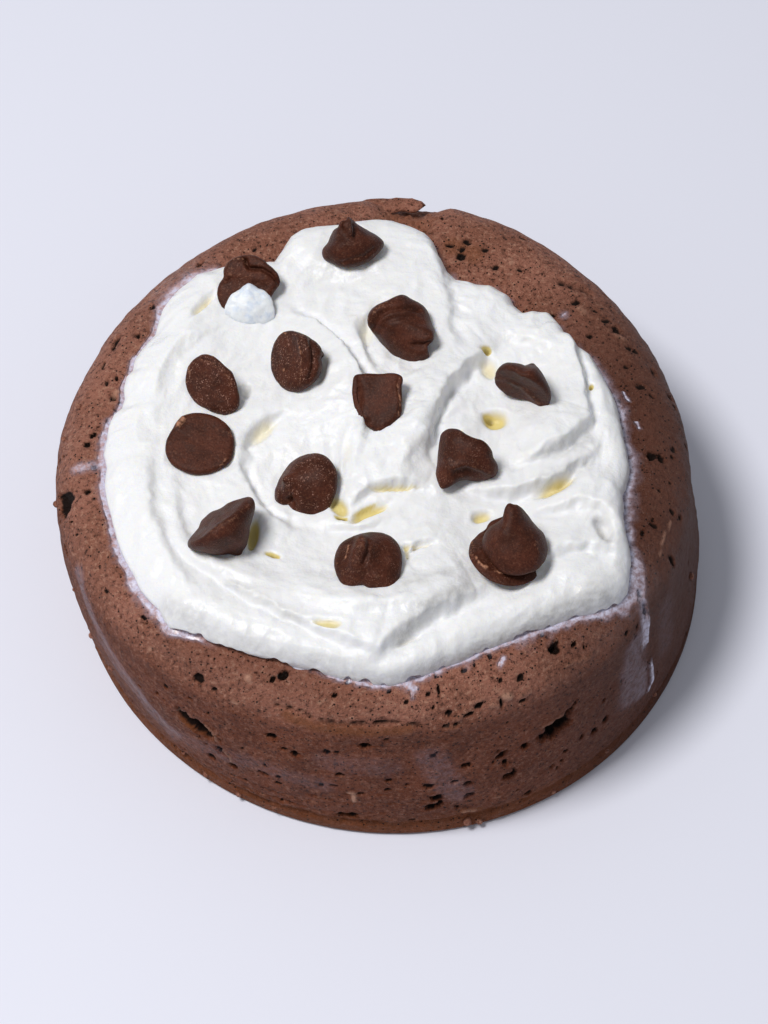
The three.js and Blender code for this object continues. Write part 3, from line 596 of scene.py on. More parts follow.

# pose: at, lift, lean, turn. size: radius, height, bend of the tip and its direction.
# seen: the middle of its outline in the photograph, in pixels, and outline: the reach from there in
# millimetres, anticlockwise from the right. strokes: points right and up of that middle, width,
# height, paleness, which is pale broken chocolate and partly painted highlight on lit rims. grain: how many
# pale specks it has.
chips = {
    "chip_01": {
        "pose": ((-3.5, 33.1), -0.2, 10, 150), "size": (5.0, 8.2, 1.4, 140),
        "seen": (352, 243), "grain": 0.2,
        "outline": [5.05, 4.25, 3.5, 3.15, 3.0, 3.15, 3.8, 3.9, 3.8, 3.65, 3.6, 3.7,
                    3.95, 4.9, 5.1, 4.6, 4.35, 4.1, 3.85, 3.8, 3.85, 4.0, 4.25, 4.7],
        "strokes": [
            ([(-0.6, 3.4), (-0.4, 2.4), (-0.2, 1.5)], 0.5, 0.7, 0.1),
            ([(0.25, 3.0), (0.45, 2.2), (0.35, 1.2)], 0.35, -0.6, 0),
            ([(-1.3, 3.0), (-1.2, 2.0)], 0.35, -0.35, 0),
            ([(-1.6, -3.1), (0.2, -2.6), (2.1, -2.1), (3.5, -0.9)], 0.3, -0.3, 0.1),
            ([(-0.9, -1.2), (0.1, -1.6)], 0.9, -0.2, 0),
        ],
    },
    "chip_02": {
        "pose": ((-19.4, 26.8), 3.3, 148, 81), "size": (5.2, 5.4, 0, 0),
        "seen": (248, 284), "grain": 0.3,
        "outline": [5.15, 5.2, 4.8, 4.5, 4.5, 4.55, 4.6, 4.6, 4.6, 4.6, 4.55, 4.15,
                    4.7, 5.2, 5.5, 6.1, 5.2, 4.2, 3.8, 3.8, 4.0, 4.2, 4.3, 4.5],
        "strokes": [
            ([(-0.4, 3.9), (-0.3, 3.3), (0.1, 2.5), (2, 2.4), (3.5, 1.6), (4.8, 0.4)], 0.28, -1.0, 0),
            ([(-0.7, 3.9), (-0.5, 3.3), (-0.1, 3.0)], 0.16, 0.2, 0.5),
            ([(-4.4, 0.5), (-3.4, 0.4), (-2.6, 0.9)], 0.25, -0.4, 0),
            ([(-3.9, 2.7), (-2.6, 3.8), (-1, 4.0)], 0.3, 0.2, 0.3),
            ([(-2.5, 1.6), (0, 1.4), (2.5, 0.8)], 0.9, 0.35, 0.1),
        ],
    },
    "chip_03": {
        "pose": ((2.6, 19.6), 1.4, 74, 298), "size": (5.4, 8.6, 1.2, 45),
        "seen": (403, 331), "grain": 0.25,
        "outline": [5.2, 4.9, 5.1, 5.25, 5.25, 5.25, 5.65, 5.4, 5.3, 5.7, 5.95, 5.7,
                    4.95, 4.3, 4.2, 4.25, 4.55, 5.0, 5.6, 6.2, 6.45, 6.1, 4.7, 4.9],
        "strokes": [
            ([(-4.6, 0.4), (-4.3, 1.5), (-3.4, 2.6), (-1.8, 3.4), (0.6, 3.6), (2.6, 3.2)], 0.32, -0.7, 0),
            ([(-5.2, 0.6), (-5, 2.2), (-4.2, 3.2), (-2.6, 4.1)], 0.4, 0.25, 0.25),
            ([(-3.4, 0.1), (-2.4, 1.6), (-0.6, 2.2), (1.4, 1.8), (3, 1.4)], 0.5, -0.35, 0),
            ([(4.3, -1.9), (2.9, -2.3), (1.7, -2.1)], 0.4, -0.7, 0),
        ],
    },
    "chip_04": {
        "pose": ((-12.9, 10.4), 3.7, 121, 23), "size": (4.7, 5.8, 0, 0),
        "seen": (297, 361), "grain": 1,
        "outline": [4.1, 4.3, 4.3, 4.5, 5.1, 4.5, 4.1, 4.3, 4.7, 4.85, 4.4, 4.1],
        "strokes": [
            ([(0.2, 3.0), (0.5, 1.6), (0.75, 0), (0.75, -1.4), (0.5, -3.0)], 0.15, 0.12, 0.5),
            ([(2.2, 3.3), (2.6, 1.5), (2.6, -0.5), (1.9, -2.8)], 0.4, -0.7, 0),
            ([(2.4, 3.5), (3.4, 2.6), (3.7, 1)], 0.4, 0.3, 0.1),
            ([(-1.9, 4.3), (-1.7, 4.1)], 0.25, 0.1, 0.6), ([(-2, -1.4)], 0.3, 0.1, 0.5),
        ],
    },
    "chip_05": {
        "pose": ((-25.0, 7.4), 4.6, 130, 52), "size": (5.0, 5.4, 0, 0),
        "seen": (212, 383), "grain": 1,
        "outline": [3.9, 3.65, 3.6, 3.4, 3.45, 3.7, 4.1, 4.5, 4.75, 4.75, 4.6, 4.4,
                    4.25, 4.1, 4.0, 4.0, 4.0, 4.05, 4.5, 5.05, 5.6, 5.7, 5.05, 4.3],
        "strokes": [
            ([(-2.4, 3.8), (-0.6, 3.3), (0.8, 2.5), (2.1, 1.3), (2.7, 0), (3.2, -1.2)], 0.25, -0.25, 0.3),
            ([(-1.6, 4.3), (0.6, 3.9), (2.4, 2.6)], 0.4, 0.15, 0.2),
            ([(-3.6, 2.6), (-3.5, 1.4)], 0.18, 0.08, 0.6),
        ],
    },
    "chip_06": {
        "pose": ((-26.1, -4.2), 1.8, 170, 90), "size": (5.3, 5.0, 0, 0),
        "seen": (201, 445), "grain": 0.05,
        "outline": [5.1, 5.1, 4.9, 4.9, 5.2, 5.0, 5.4, 5.4, 4.8, 4.6, 4.65, 5.15],
        "strokes": [
            ([(-3.5, 3.0), (-2.7, 4.0)], 0.4, 0.3, 0.8), ([(-3.0, 2.8), (-2.2, 3.6)], 0.2, -0.25, 0),
            ([(4.3, 1.9), (4.6, 1.5)], 0.2, 0.1, 0.6), ([(3.6, -2.1), (2.7, -3.2)], 0.25, 0.1, 0.5),
        ],
    },
    "chip_07": {
        "pose": ((1.1, 2.6), 3.3, 156, 84), "size": (4.9, 5.2, 0, 0),
        "seen": (379, 400), "grain": 0.1,
        "outline": [3.6, 3.7, 4.1, 5.0, 4.7, 4.2, 4.0, 4.2, 4.7, 5.3, 4.7, 4.3,
                    4.05, 3.95, 3.9, 4.2, 4.35, 4.6, 5.1, 4.6, 4.4, 4.3, 4.0, 3.7],
        "strokes": [
            ([(3.3, 4.1), (2.8, 2.6), (2.9, 1.1), (3.3, 0), (3.0, -2.4)], 0.18, -0.2, 0.5),
            ([(-3.9, 3.0), (-3.5, 1.6), (-3.2, 0), (-3.6, -1.8), (-3.2, -3.4)], 0.8, -0.9, 0),
            ([(-1.2, 0.9)], 1.6, -0.15, 0), ([(-2.2, -3.7), (-1.6, -3.1)], 0.3, -0.5, 0),
        ],
    },
    "chip_08": {
        "pose": ((22.4, 3.8), 4.6, 80, 62), "size": (4.9, 6.4, 0.3, 90),
        "seen": (519, 383), "grain": 0.15,
        "outline": [4.4, 4.0, 3.8, 3.95, 3.5, 3.0, 3.0, 3.2, 3.6, 3.8, 4.0, 4.1,
                    4.1, 3.5, 3.0, 2.7, 2.5, 2.5, 2.6, 2.9, 3.8, 6.0, 5.7, 5.0],
        "strokes": [
            ([(-4.0, 0.8), (-2.0, 0.6), (0.2, -0.4), (2.2, -2.2), (3.9, -4.2)], 0.4, 0.2, 0.12),
        ],
    },
    "chip_09": {
        "pose": ((14.5, -5.7), 2.4, 94, 235), "size": (5.0, 7.8, 0.8, 300),
        "seen": (466, 458), "grain": 0.4,
        "outline": [4.3, 4.2, 3.9, 3.65, 3.4, 3.4, 3.8, 4.7, 5.15, 5.2, 4.8, 4.5,
                    4.4, 4.6, 5.4, 6.2, 5.2, 3.9, 3.4, 3.6, 4.2, 4.85, 5.2, 5.0],
        "strokes": [
            ([(-3.0, -0.4), (-2.0, -1.5), (0, -0.9), (2.1, -1.6), (3.9, -2.2)], 0.5, 0.35, 0.1),
            ([(-1.4, -2.3), (0.2, -1.9), (2, -2.6)], 0.6, -0.5, 0),
        ],
    },
    "chip_10": {
        "pose": ((-9.0, -9.7), 0.2, 38, 215), "size": (5.1, 5.8, 1.6, 200),
        "seen": (307, 487), "grain": 1,
        "outline": [4.65, 5.25, 5.45, 5.0, 4.65, 4.35, 4.7, 5.25, 5.0, 5.25, 4.9, 4.5],
        "strokes": [
            ([(-2.8, -2.1), (-2.4, -2.6)], 0.5, -1.2, 0),
            ([(-2.3, -1.2), (-3.0, -2.9), (-3.8, -3.4)], 0.25, -0.4, 0),
            ([(-4.2, -0.6), (-4.1, -2.0)], 0.7, 0.4, 0.1),
        ],
    },
    "chip_11": {
        "pose": ((-23.6, -20.7), 3.8, 127, 315), "size": (5.7, 7.2, 0.4, 0),
        "seen": (222, 527), "grain": 0.25,
        "outline": [4.2, 4.8, 5.65, 6.2, 5.4, 4.2, 3.2, 2.8, 2.75, 2.85, 3.05, 3.6,
                    4.2, 5.5, 5.8, 5.1, 4.65, 4.4, 4.2, 4.5, 5.2, 5.2, 4.5, 4.2],
        "strokes": [
            ([(-4.6, -2.0), (-2.4, -0.9), (0, 0.2), (2.1, 1.6), (3.9, 2.9)], 0.45, 0.25, 0.12),
        ],
    },
    "chip_12": {
        "pose": ((-0.7, -26.4), 0.6, 3, 270), "size": (5.1, 5.4, 0.6, 150),
        "seen": (369, 561), "grain": 0.35,
        "outline": [4.9, 4.95, 5.05, 4.95, 4.7, 4.4, 4.25, 4.2, 4.35, 4.6, 4.95, 5.1,
                    5.15, 5.15, 5.2, 5.3, 4.4, 3.6, 4.1, 4.4, 5.05, 5.4, 5.15, 4.9],
        "strokes": [
            ([(-0.9, 2.8), (-1.5, 1.2), (-1.9, -0.6)], 0.9, 0.85, 0.1),
            ([(-0.1, 2.6), (-0.2, 1.2), (-0.8, -0.2)], 0.35, -0.6, 0), ([(2.1, 0.6)], 1.5, -0.8, 0),
            ([(1.1, -2.2)], 0.35, 0.4, 0.3), ([(-2.9, 2.2), (-3.4, 0.3)], 0.16, 0.1, 0.6),
            ([(-4.6, -0.3)], 0.2, 0.1, 0.6),
        ],
    },
    "chip_13": {
        "pose": ((20.5, -24.1), 1.6, 30, 90), "size": (5.3, 9.4, 1.1, 190),
        "seen": (510, 543), "grain": 0.1,
        "outline": [5.4, 5.2, 4.7, 4.6, 5.0, 5.7, 5.8, 4.5, 3.8, 3.75, 3.9, 4.0,
                    4.1, 4.2, 4.15, 4.1, 4.2, 4.5, 4.7, 5.05, 5.4, 5.95, 6.1, 5.8],
        "strokes": [
            ([(0.6, 4.8), (0, 3.2), (-0.8, 1.4)], 1.0, 0.6, 0),
            ([(3.6, 0.4), (4.1, -1.6), (3.6, -3)], 0.3, 0.12, 0.15),
        ],
    },
    "chip_14": {
        "pose": ((18.7, -24.6), 0.6, 22, 60), "size": (5.4, 1.9, 0, 0),
        "seen": (510, 543), "grain": 0.3,
        "outline": [5.0, 4.6, 4.4, 4.3, 4.5, 5.5, 6.05, 6.4, 6.3, 6.3, 6.4, 5.9],
        "strokes": [
            ([(-4.6, -2.7), (-4.0, -3.3), (-3.4, -3.5)], 0.22, 0.15, 0.9),
            ([(-2.3, -4.1), (-1.0, -4.5)], 0.15, 0.1, 0.7), ([(-4.9, -2.2)], 0.2, 0.1, 0.9),
            ([(-5.6, 0.4), (-5.5, -1.8)], 0.4, 0.15, 0.3),
        ],
    },
}


chocolate = {    # what all chips share, in millimetres
    "segments": 112, "rings": 60, "hookFrom": 0.5,
    "dents": (0.07, 2.4), "skin": (0.03, 0.8), "facing": (-0.05, 0.35),    # amount and size of its ripples
    "dark": (0.047, 0.0125, 0.006), "light": (0.083, 0.0225, 0.0115), "blotch": 3.0,
    # the pit colour is painted shade in tiny pits, and the sheen colour is a painted sheen
    "pitShade": (0.022, 0.005, 0.003), "sheen": (0.15, 0.05, 0.028), "fine": 0.3,
    # the broken colour is pale broken chocolate and painted highlight on lit rims
    "speck": (0.38, 0.2, 0.15), "brokenAndHighlight": (0.42, 0.2, 0.12),
    "roughness": (0.42, 0.55), "shine": 0.16, "bump": 0.11,
}


def chipMaterial():
    m = Nodes("chipFinish")
    blotch, fine = m.noise(chocolate["blotch"], 3), m.noise(chocolate["fine"], 3, 0.65)
    tone = m.mix(m.ramp(blotch, 0.35, 0.7), chocolate["dark"], chocolate["light"])
    # painted shade in tiny pits
    tone = m.mix(m.ramp(fine, 0.5, 0.33, 0, 0.55), tone, chocolate["pitShade"])
    # painted sheen on fine spots
    tone = m.mix(m.ramp(fine, 0.55, 0.7, 0, 0.5), tone, chocolate["sheen"])
    specks = m.sum(m.ramp(m.noise(0.22, 3, 0.6), 0.55, 0.67), m.ramp(m.noise(1.3, 2), 0.42, 0.6), "MULTIPLY")
    tone = m.mix(m.sum(specks, m.mark("grain"), "MULTIPLY"), tone, chocolate["speck"])
    # pale broken chocolate, and painted highlight along lit rims
    brokenAndHighlight = m.ramp(m.sum(m.mark("paleAndHighlight"), m.ramp(m.noise(0.5, 3), 0.3, 0.7, -0.35, 0.25)), 0.1, 0.9)
    tone = m.mix(brokenAndHighlight, tone, chocolate["brokenAndHighlight"])
    return m.wear(
        Base_Color=tone, Roughness=m.ramp(blotch, 0.3, 0.7, *chocolate["roughness"]),
        Specular_IOR_Level=chocolate["shine"], Normal=m.bump(m.noise(0.4, 4, 0.7), chocolate["bump"]),
    )


def chipPose(at, lift, lean, turn):
    a, b = math.radians(lean), math.radians(turn)
    axis = Vector((math.sin(a) * math.cos(b), math.sin(a) * math.sin(b), math.cos(a)))
    top = float(creamAt(np.array([at[0]]), np.array([at[1]]))[0][0])
    leaned = Vector((0, 0, 1)).rotation_difference(axis).to_matrix().to_4x4()
    return Matrix.Translation((*at, top + lift)) @ leaned


def makeChip(name, material):
    chip = chips[name]
    radius, height, bend, towards = chip["size"]
    seed = list(chips).index(name)
    bm = bmesh.new()
    rings = chocolate["rings"]
    bmesh.ops.create_uvsphere(bm, u_segments=chocolate["segments"], v_segments=rings, radius=1)
    ball = places(bm)
    row = np.arccos(np.clip(ball[:, 2], -1, 1)) / np.pi * rings
    line = through(chipOutline, rings + 1)[np.round(row).astype(int)]
    angle = np.arctan2(ball[:, 1], ball[:, 0])
    hooked = bend * smooth(chocolate["hookFrom"], 1, line[:, 1])
    x = line[:, 0] * radius * np.cos(angle) + hooked * math.cos(math.radians(towards))
    y = line[:, 0] * radius * np.sin(angle) + hooked * math.sin(math.radians(towards))
    moveTo(bm, np.stack([x, y, line[:, 1] * height], 1))
    bmesh.ops.transform(bm, matrix=chipPose(*chip["pose"]), verts=bm.verts)
    spots = places(bm)
    amount, size = chocolate["dents"]
    spots = spots + outwards(bm) * (amount * roughly(spots, size, seed))[:, None]
    spots = fitOutline(spots, chip["seen"], chip["outline"])
    moveTo(bm, spots)
    normals = outwards(bm)
    u, v = seenFrom(spots, chip["seen"])
    facing = smooth(*chocolate["facing"], normals @ toViewer)
    amount, size = chocolate["skin"]
    push, paleAndHighlight = amount * roughly(spots, size, seed), np.zeros(len(spots))
    for points, width, up, paleness in chip["strokes"]:
        near = np.exp(-(fromLine(points, u, v) / width) ** 2) * facing
        push = push + up * near
        # paleness: pale broken chocolate and painted highlight on lit rims
        paleAndHighlight = np.maximum(paleAndHighlight, paleness * near)
    moveTo(bm, spots + normals * push[:, None])
    bmesh.ops.recalc_face_normals(bm, faces=bm.faces)
    marks = {"paleAndHighlight": paleAndHighlight, "grain": np.full(len(spots), chip["grain"])}
    finishPiece("drop" + name[4:], bm, material, [name], marks)


# turn in degrees, way up from the foot along the surface, half width along, half height, roll, depth
pits = [
    (302.2, 18.4, 2.3, 1.25, 31, 4.0), (305.6, 21.2, 1.4, 0.3, 58, 0.9), (237.2, 17.6, 3.0, 1.4, -24, 3.0),
    (241.6, 13.4, 1.3, 0.8, -35, 1.8), (243.4, 10.2, 0.8, 0.6, 0, 1.4), (249.4, 11.8, 0.8, 0.4, -25, 1.1),
    (238.7, 9.4, 0.7, 0.5, 0, 1.0), (252.1, 23, 0.8, 0.6, 0, 1.2), (256.5, 20.2, 0.7, 0.4, 0, 1.0),
    (261.9, 21.9, 0.5, 0.4, 0, 0.9), (268.6, 24.3, 1.1, 0.5, 5, 1.4), (263.6, 16.6, 0.8, 0.3, -5, 1.0),
    (263.1, 4.5, 1.5, 0.8, 12, 1.7), (262.9, 33.1, 0.6, 0.5, 0, 1.0), (252.7, 34.7, 0.8, 0.7, 0, 1.5),
    (238, 29.8, 0.8, 0.8, 0, 1.0), (285.2, 17.1, 0.8, 0.5, 0, 1.2), (291.6, 17.3, 1.3, 0.5, 30, 1.3),
    (295.9, 17.3, 0.7, 0.6, 20, 1.3), (291.8, 15.4, 0.5, 0.3, 0, 0.8), (292.1, 11.5, 1.1, 0.7, 28, 1.6),
    (285.1, 12.4, 0.7, 0.4, 10, 1.1), (284.8, 9.3, 1.0, 0.5, 25, 1.2), (282.8, 13.6, 0.5, 0.4, 0, 0.9),
    (279, 10, 0.9, 0.7, 0, 1.3), (278.4, 7.7, 1.5, 0.7, 20, 1.7), (280, 20.8, 0.5, 0.4, 0, 0.9),
    (278.3, 13.5, 1.1, 0.3, 0, 0.9), (308.9, 11.8, 0.7, 0.4, 60, 1.0), (312, 12.8, 0.6, 0.5, 60, 1.0),
    (306.5, 12.5, 0.5, 0.3, 40, 0.8), (300, 8.9, 0.5, 0.3, 30, 0.8), (295, 4.3, 0.7, 0.4, 20, 0.9),
    (283.1, 29.8, 0.6, 0.45, 0, 1.0), (292.4, 29.3, 0.26, 1.0, 0, 0.9), (288.6, 30, 0.9, 0.26, 10, 0.7),
    (286.3, 28.8, 1.1, 0.26, 8, 0.8), (284, 27.6, 0.8, 0.25, 24, 0.7), (296, 28.4, 0.7, 0.24, 12, 0.6),
    (355.8, 36.3, 1.1, 0.7, 10, 1.8), (355.6, 34.6, 0.9, 0.6, 10, 1.5), (305.3, 33.7, 0.9, 0.8, 0, 1.8),
    (308.8, 32.7, 0.5, 0.4, 0, 0.9), (310.3, 31.6, 0.4, 0.3, 0, 0.8), (304.8, 36.5, 0.5, 0.35, 0, 0.8),
    (287.7, 35.6, 0.5, 0.4, 0, 0.9), (289.8, 35.9, 0.4, 0.35, 0, 0.8), (293.3, 36.6, 0.4, 0.35, 0, 0.8),
    (282.1, 33.4, 0.26, 0.8, 0, 0.9), (339.4, 34.5, 0.7, 0.5, 70, 1.0), (335.9, 28.9, 1.3, 0.4, 90, 1.2),
    (324.6, 29, 1.2, 0.5, 80, 1.3), (325.5, 31.4, 0.6, 0.4, 80, 0.9), (13.6, 35.6, 0.6, 0.5, 0, 1.2),
    (17.3, 32.1, 0.6, 0.4, 0, 1.0), (11.1, 34.5, 0.5, 0.4, 40, 0.9), (11.8, 30.1, 0.9, 0.4, 80, 1.0),
    (19.2, 36.6, 0.5, 0.4, 0, 1.0), (23.1, 34.2, 1.0, 0.4, 60, 1.1), (28.8, 34.7, 0.9, 0.7, 30, 1.3),
    (32.1, 35.3, 0.6, 0.5, 0, 1.0), (39.5, 37.2, 0.9, 0.5, 40, 1.0), (40.8, 41.7, 0.4, 0.3, 0, 0.8),
    (54.5, 39.3, 0.5, 0.4, 0, 0.9), (59, 32.9, 0.5, 0.4, 0, 0.9), (56.1, 35, 0.4, 0.3, 0, 0.8),
    (64.6, 39.1, 0.6, 0.4, 0, 1.0), (69, 38.7, 0.8, 0.5, 0, 1.1), (69.4, 40.3, 0.6, 0.6, 0, 1.2),
    (72.2, 40.4, 0.7, 0.5, 0, 1.1), (68.6, 41.7, 0.9, 0.8, 0, 1.5), (59.6, 41.1, 0.5, 0.4, 0, 0.9),
    (129, 34, 0.9, 0.45, 10, 1.1), (117.2, 37.4, 0.7, 0.3, 0, 0.8), (144.1, 34.4, 0.5, 0.5, 0, 0.9),
    (155.1, 33, 1.6, 0.45, 8, 1.2), (161.1, 33.1, 0.7, 0.35, 0, 1.0), (165.4, 35.3, 0.5, 0.5, 0, 1.0),
    (169, 37, 0.7, 0.6, 0, 1.3), (181.1, 34.6, 0.7, 0.4, 0, 1.0), (187, 35.7, 0.5, 0.45, 0, 1.3),
    (192.1, 29.6, 2.1, 2.2, 10, 1.8), (97, 39.5, 1.4, 0.7, 0, 1.4), (101, 39.2, 0.8, 0.6, 0, 1.2),
]

# points as turn and way up, width, depth
creases = [
    ([(253, 30.2), (257, 30.2), (260, 29.1), (266, 29), (272.8, 29.4), (278, 28.6)], 0.34, 0.6),
    ([(46.3, 36.6), (43, 35.4), (40.2, 34.3)], 0.6, 1.0),
    ([(226, 2.9), (240, 4.6), (256, 5.2)], 0.22, 0.25),
    ([(229, 5.2), (243, 7.0), (258, 7.4)], 0.2, 0.2),
    ([(255, 11.5), (264, 11.2), (272, 11.8)], 0.2, 0.2),
    ([(257, 9.2), (266, 8.8), (277, 9.6)], 0.2, 0.2),
]

# points as turn and way up, width, height, strength: milk that has run down
runs = [
    ([(330.2, 36), (329.5, 34), (325.2, 31.2), (323.6, 27), (323.4, 21.5)], 1.1, 0.1, 0.8),
    ([(324.6, 27), (324.0, 21.6)], 0.4, 0.35, 1.0),
    ([(321.5, 23.5), (319.6, 19), (318.5, 13)], 2.8, 0, 0.42),
    ([(324.3, 15.5), (324.4, 10.2), (322.8, 9)], 0.45, 0.35, 0.95),
    ([(321.5, 15.5), (321, 10.5)], 1.8, 0.1, 0.5),
    ([(331, 22), (330, 14)], 2.6, 0, 0.12),
    ([(206, 28), (210, 24.5), (214, 21), (219, 17.8), (223, 15.5), (227, 12.2), (231, 10)], 1.5, 0, 0.4),
    ([(214, 17.5), (222, 12.5), (229, 8)], 1.9, 0, 0.26),
    ([(232, 10), (247, 14), (260, 13)], 2.2, 0, 0.15),
    ([(279.5, 20.5), (281, 15), (283, 10.5)], 2.4, 0, 0.24),
    ([(262, 19.5), (272, 18.6)], 2.4, 0, 0.14),
    ([(275.2, 35.3), (277.5, 34.2)], 0.9, 0.15, 1.0),
    ([(276.8, 34.5), (277.2, 32.8)], 0.4, 0.1, 0.8),
    ([(294.3, 34.8), (295.6, 35.6)], 0.5, 0.25, 1.0),
    ([(38.7, 40.3)], 0.8, 0.15, 0.9),
    # painted glints: the next two are whitish milk where the milk's wet edge catches the light
    ([(2.6, 37.6), (4.4, 37.9)], 0.3, 0.2, 1.2),
    ([(10, 38.2), (12.6, 38.6)], 0.25, 0.2, 1.2),
    ([(187, 36), (186.5, 33.2)], 1.2, 0.05, 0.75),
    ([(131, 36), (140, 36.5)], 1.2, 0.05, 0.7),
]

# points as turn and way up, width, height, strength: pale flecks, flakes, threads and torn edges, partly
# painted highlight where flakes and edges catch the light
flecks = [
    ([(264.6, 11.6), (265.3, 11.6), (265.1, 9.4)], 0.38, 0.2, 1.0), ([(246.7, 32.9)], 0.6, 0.2, 0.9),
    ([(227.4, 29.5)], 0.35, 0.15, 0.9), ([(245.2, 28.6), (246, 28.4)], 0.3, 0.2, 0.8),
    ([(260.5, 31.8)], 0.35, 0.15, 0.8), ([(167.4, 37.4), (168.2, 37.2)], 0.45, 0.15, 0.8),
    ([(57.4, 39.2), (58, 38.4)], 0.35, 0.2, 0.8), ([(293.2, 30.4), (294, 30)], 0.6, 0.5, 0.9),
    ([(287.4, 30.7), (289.4, 30.8)], 0.45, 0.3, 0.15), ([(284.6, 28.6), (286, 29.4)], 0.5, 0.35, 0.15),
    ([(282.6, 27.2), (284, 26.9)], 0.5, 0.3, 0.12), ([(296, 29.4), (297.6, 29.7)], 0.5, 0.3, 0.15),
    ([(305.4, 30.7), (308, 30.3), (310.4, 29.5)], 0.26, 0.35, 0.16),
    ([(290.4, 29.6), (291.6, 29.2)], 0.4, 0.35, 0.35),
    ([(334.4, 31.9), (338, 32.3), (342.1, 31.8)], 0.16, 0.1, 0.5),
    ([(233.6, 18.4), (235.3, 19.6), (236.6, 19.0)], 0.25, 0.3, 0.55),
    ([(239.6, 19.4), (240.9, 18.2), (241.4, 16.2)], 0.22, 0.3, 0.7),
    ([(242.1, 14.6), (243.5, 13.2), (243.6, 12)], 0.22, 0.3, 0.65),
    ([(299.5, 20.2), (303.5, 20.7)], 0.3, 0.15, 0.3), ([(283.4, 4.9), (285, 4.4)], 0.5, 0.4, 0.6),
    ([(289, 6.8), (289.8, 6.6)], 0.3, 0.2, 0.5), ([(38, 37.6), (36, 37.4)], 0.5, 0.3, 0.35),
    ([(27.5, 35.4), (26, 34.6)], 0.4, 0.3, 0.3), ([(291.8, 31.8), (292.6, 31.2)], 0.25, 0.2, 0.5),
]

# points as turn and way up, width, height, strength: where the crust is more orange
warm = [
    ([(255, 28.9), (260, 27.7), (268, 27.6), (276, 27.9)], 0.9, 0, 0.8),
    ([(283, 4.6), (286, 4.2)], 1.0, 0, 0.8), ([(235, 16.5), (240, 17)], 1.2, 0, 0.7),
    ([(97, 39.5), (104, 39.5)], 1.0, 0, 0.6), ([(66, 40.5), (72, 40.5)], 1.8, 0, 0.6),
]

film = {    # how far the milk has spread past the cream's edge, in millimetres at every 15 degrees
    "spread": [
        2.1, 1.9, 1.2, 0.5, 1.7, 0.6, 0, 0, 0.8, 2.6, 1.2, 0.4, 1.2, 0.8, 1.0, 1.0,
        0, 0, 0.9, 1.5, 2.0, 2.6, 3.0, 2.2,
    ],
    "raggedness": [
        0.7, 0.2, 0.9, 1.0, 0.9, 1.0, 0, 0, 0.9, 0.9, 1.0, 1.0, 1.2, 1.2, 1.2, 1.0,
        0.6, 0.5, 1.1, 1.2, 1.2, 1.0, 0.8, 0.4,
    ],
    "thick": 0.14, "ripples": [(0.7, 2.2, 88), (0.5, 1.0, 89)],    # amount, size and seed
    "levels": (28, 31), "least": 0.3,    # where it begins on the shoulder, and its least width
    "glintTurn": 247, "glintWide": 16, "glintReach": (7.0, 1.0), "wetReach": (3.5, 0.5),
    "wetness": (0.3, 0.6, 0.6),    # near the milk, added in the glint, and along the milk's edge
    # painted shade: darker on the right side, away from the lamp, and on the rim under the cream's lip at the
    # front
    "paintedShadeTurn": -8, "paintedShadeFrom": 0.45, "paintedShades": (0.85, 0.25), "wallLevels": (31, 25),
    "footWarm": 0.6, "footLevels": (6, 1.5),
}

pores = {    # small holes at random places
    "count": 190, "seed": 12, "turns": (150, 400), "levels": (1, 44), "half": (0.17, 0.3),
    "swell": (0.8, 1.6), "oblong": (1, 1.7), "rolls": (-30, 30), "depth": (0.4, 0.8),
}

rough = {    # the crust's unevenness, each layer as amount, size and seed
    "skin": [(0.16, 9, 22), (0.13, 2.4, 51), (0.08, 1.1, 52)], "sink": 0.05,
    "foot": [(0.22, 0.9, 53)], "footTurn": 235, "footLevels": (9, 3),    # it crumbles at the front left
    "ragged": (1.0, 55), "pitRagged": 0.7, "smallPit": 2.5, "smallPitEdge": 1.35,
    "shallow": (0.32, 0.1), "blackening": 0.4,    # painted shade: only a deep hole is painted black up to its edge
    # the last pair sets how strong the painted shade in the creases is
    "creaseRagged": (0.65, 0.9), "creaseShade": (0.6, 1.4),
}

tear = {    # where the rim is torn away beside the flap, in degrees from its turn and in levels
    "turn": 82, "depth": 2.3, "start": (-7.5, -0.5), "end": (10, 2.5), "below": (25, 31), "above": (43, 38),
    # the dark amount and its levels paint shade into the tear's crease
    "ragged": 0.25, "dark": 0.3, "darkLevels": (36.5, 38.5), "warm": 0.5,
}

flap = {    # the torn strip of rim that sticks up at the back
    "from": 114, "to": 80, "inset": 2.6, "wide": 2.0, "thick": 0.7, "sunk": 4.2, "lift": 2.1, "blunt": 6,
    "liftFrom": -0.1, "narrows": 0.35, "ragged": 0.3, "raggedSize": 1.5, "seeds": (61, 62, 63),
    "segments": (40, 36), "bareFrom": (0.3, 0.9),
}

# turn, way up, size: crumbs that cling to the side
crumbs = [
    (171, 31.5, 0.5), (177.5, 29.5, 0.45), (189, 26, 0.5), (208, 13, 0.75), (213, 9.5, 0.5), (203, 20, 0.35),
    (344, 15, 0.5), (236, 1.2, 0.5), (243, 0.8, 0.45), (250, 1.4, 0.4), (231, 3.2, 0.4), (284, 1.2, 0.7),
    (286, 0.6, 0.5), (300, 0.8, 0.4), (312, 2, 0.4), (326, 3, 0.35), (96, 36.6, 0.4), (76, 35.5, 0.35),
    (20, 20, 0.5), (55, 9, 0.45), (80, 14, 0.5), (110, 6, 0.5), (140, 18, 0.4), (160, 8, 0.5),
]
crumbLumps = 0.5


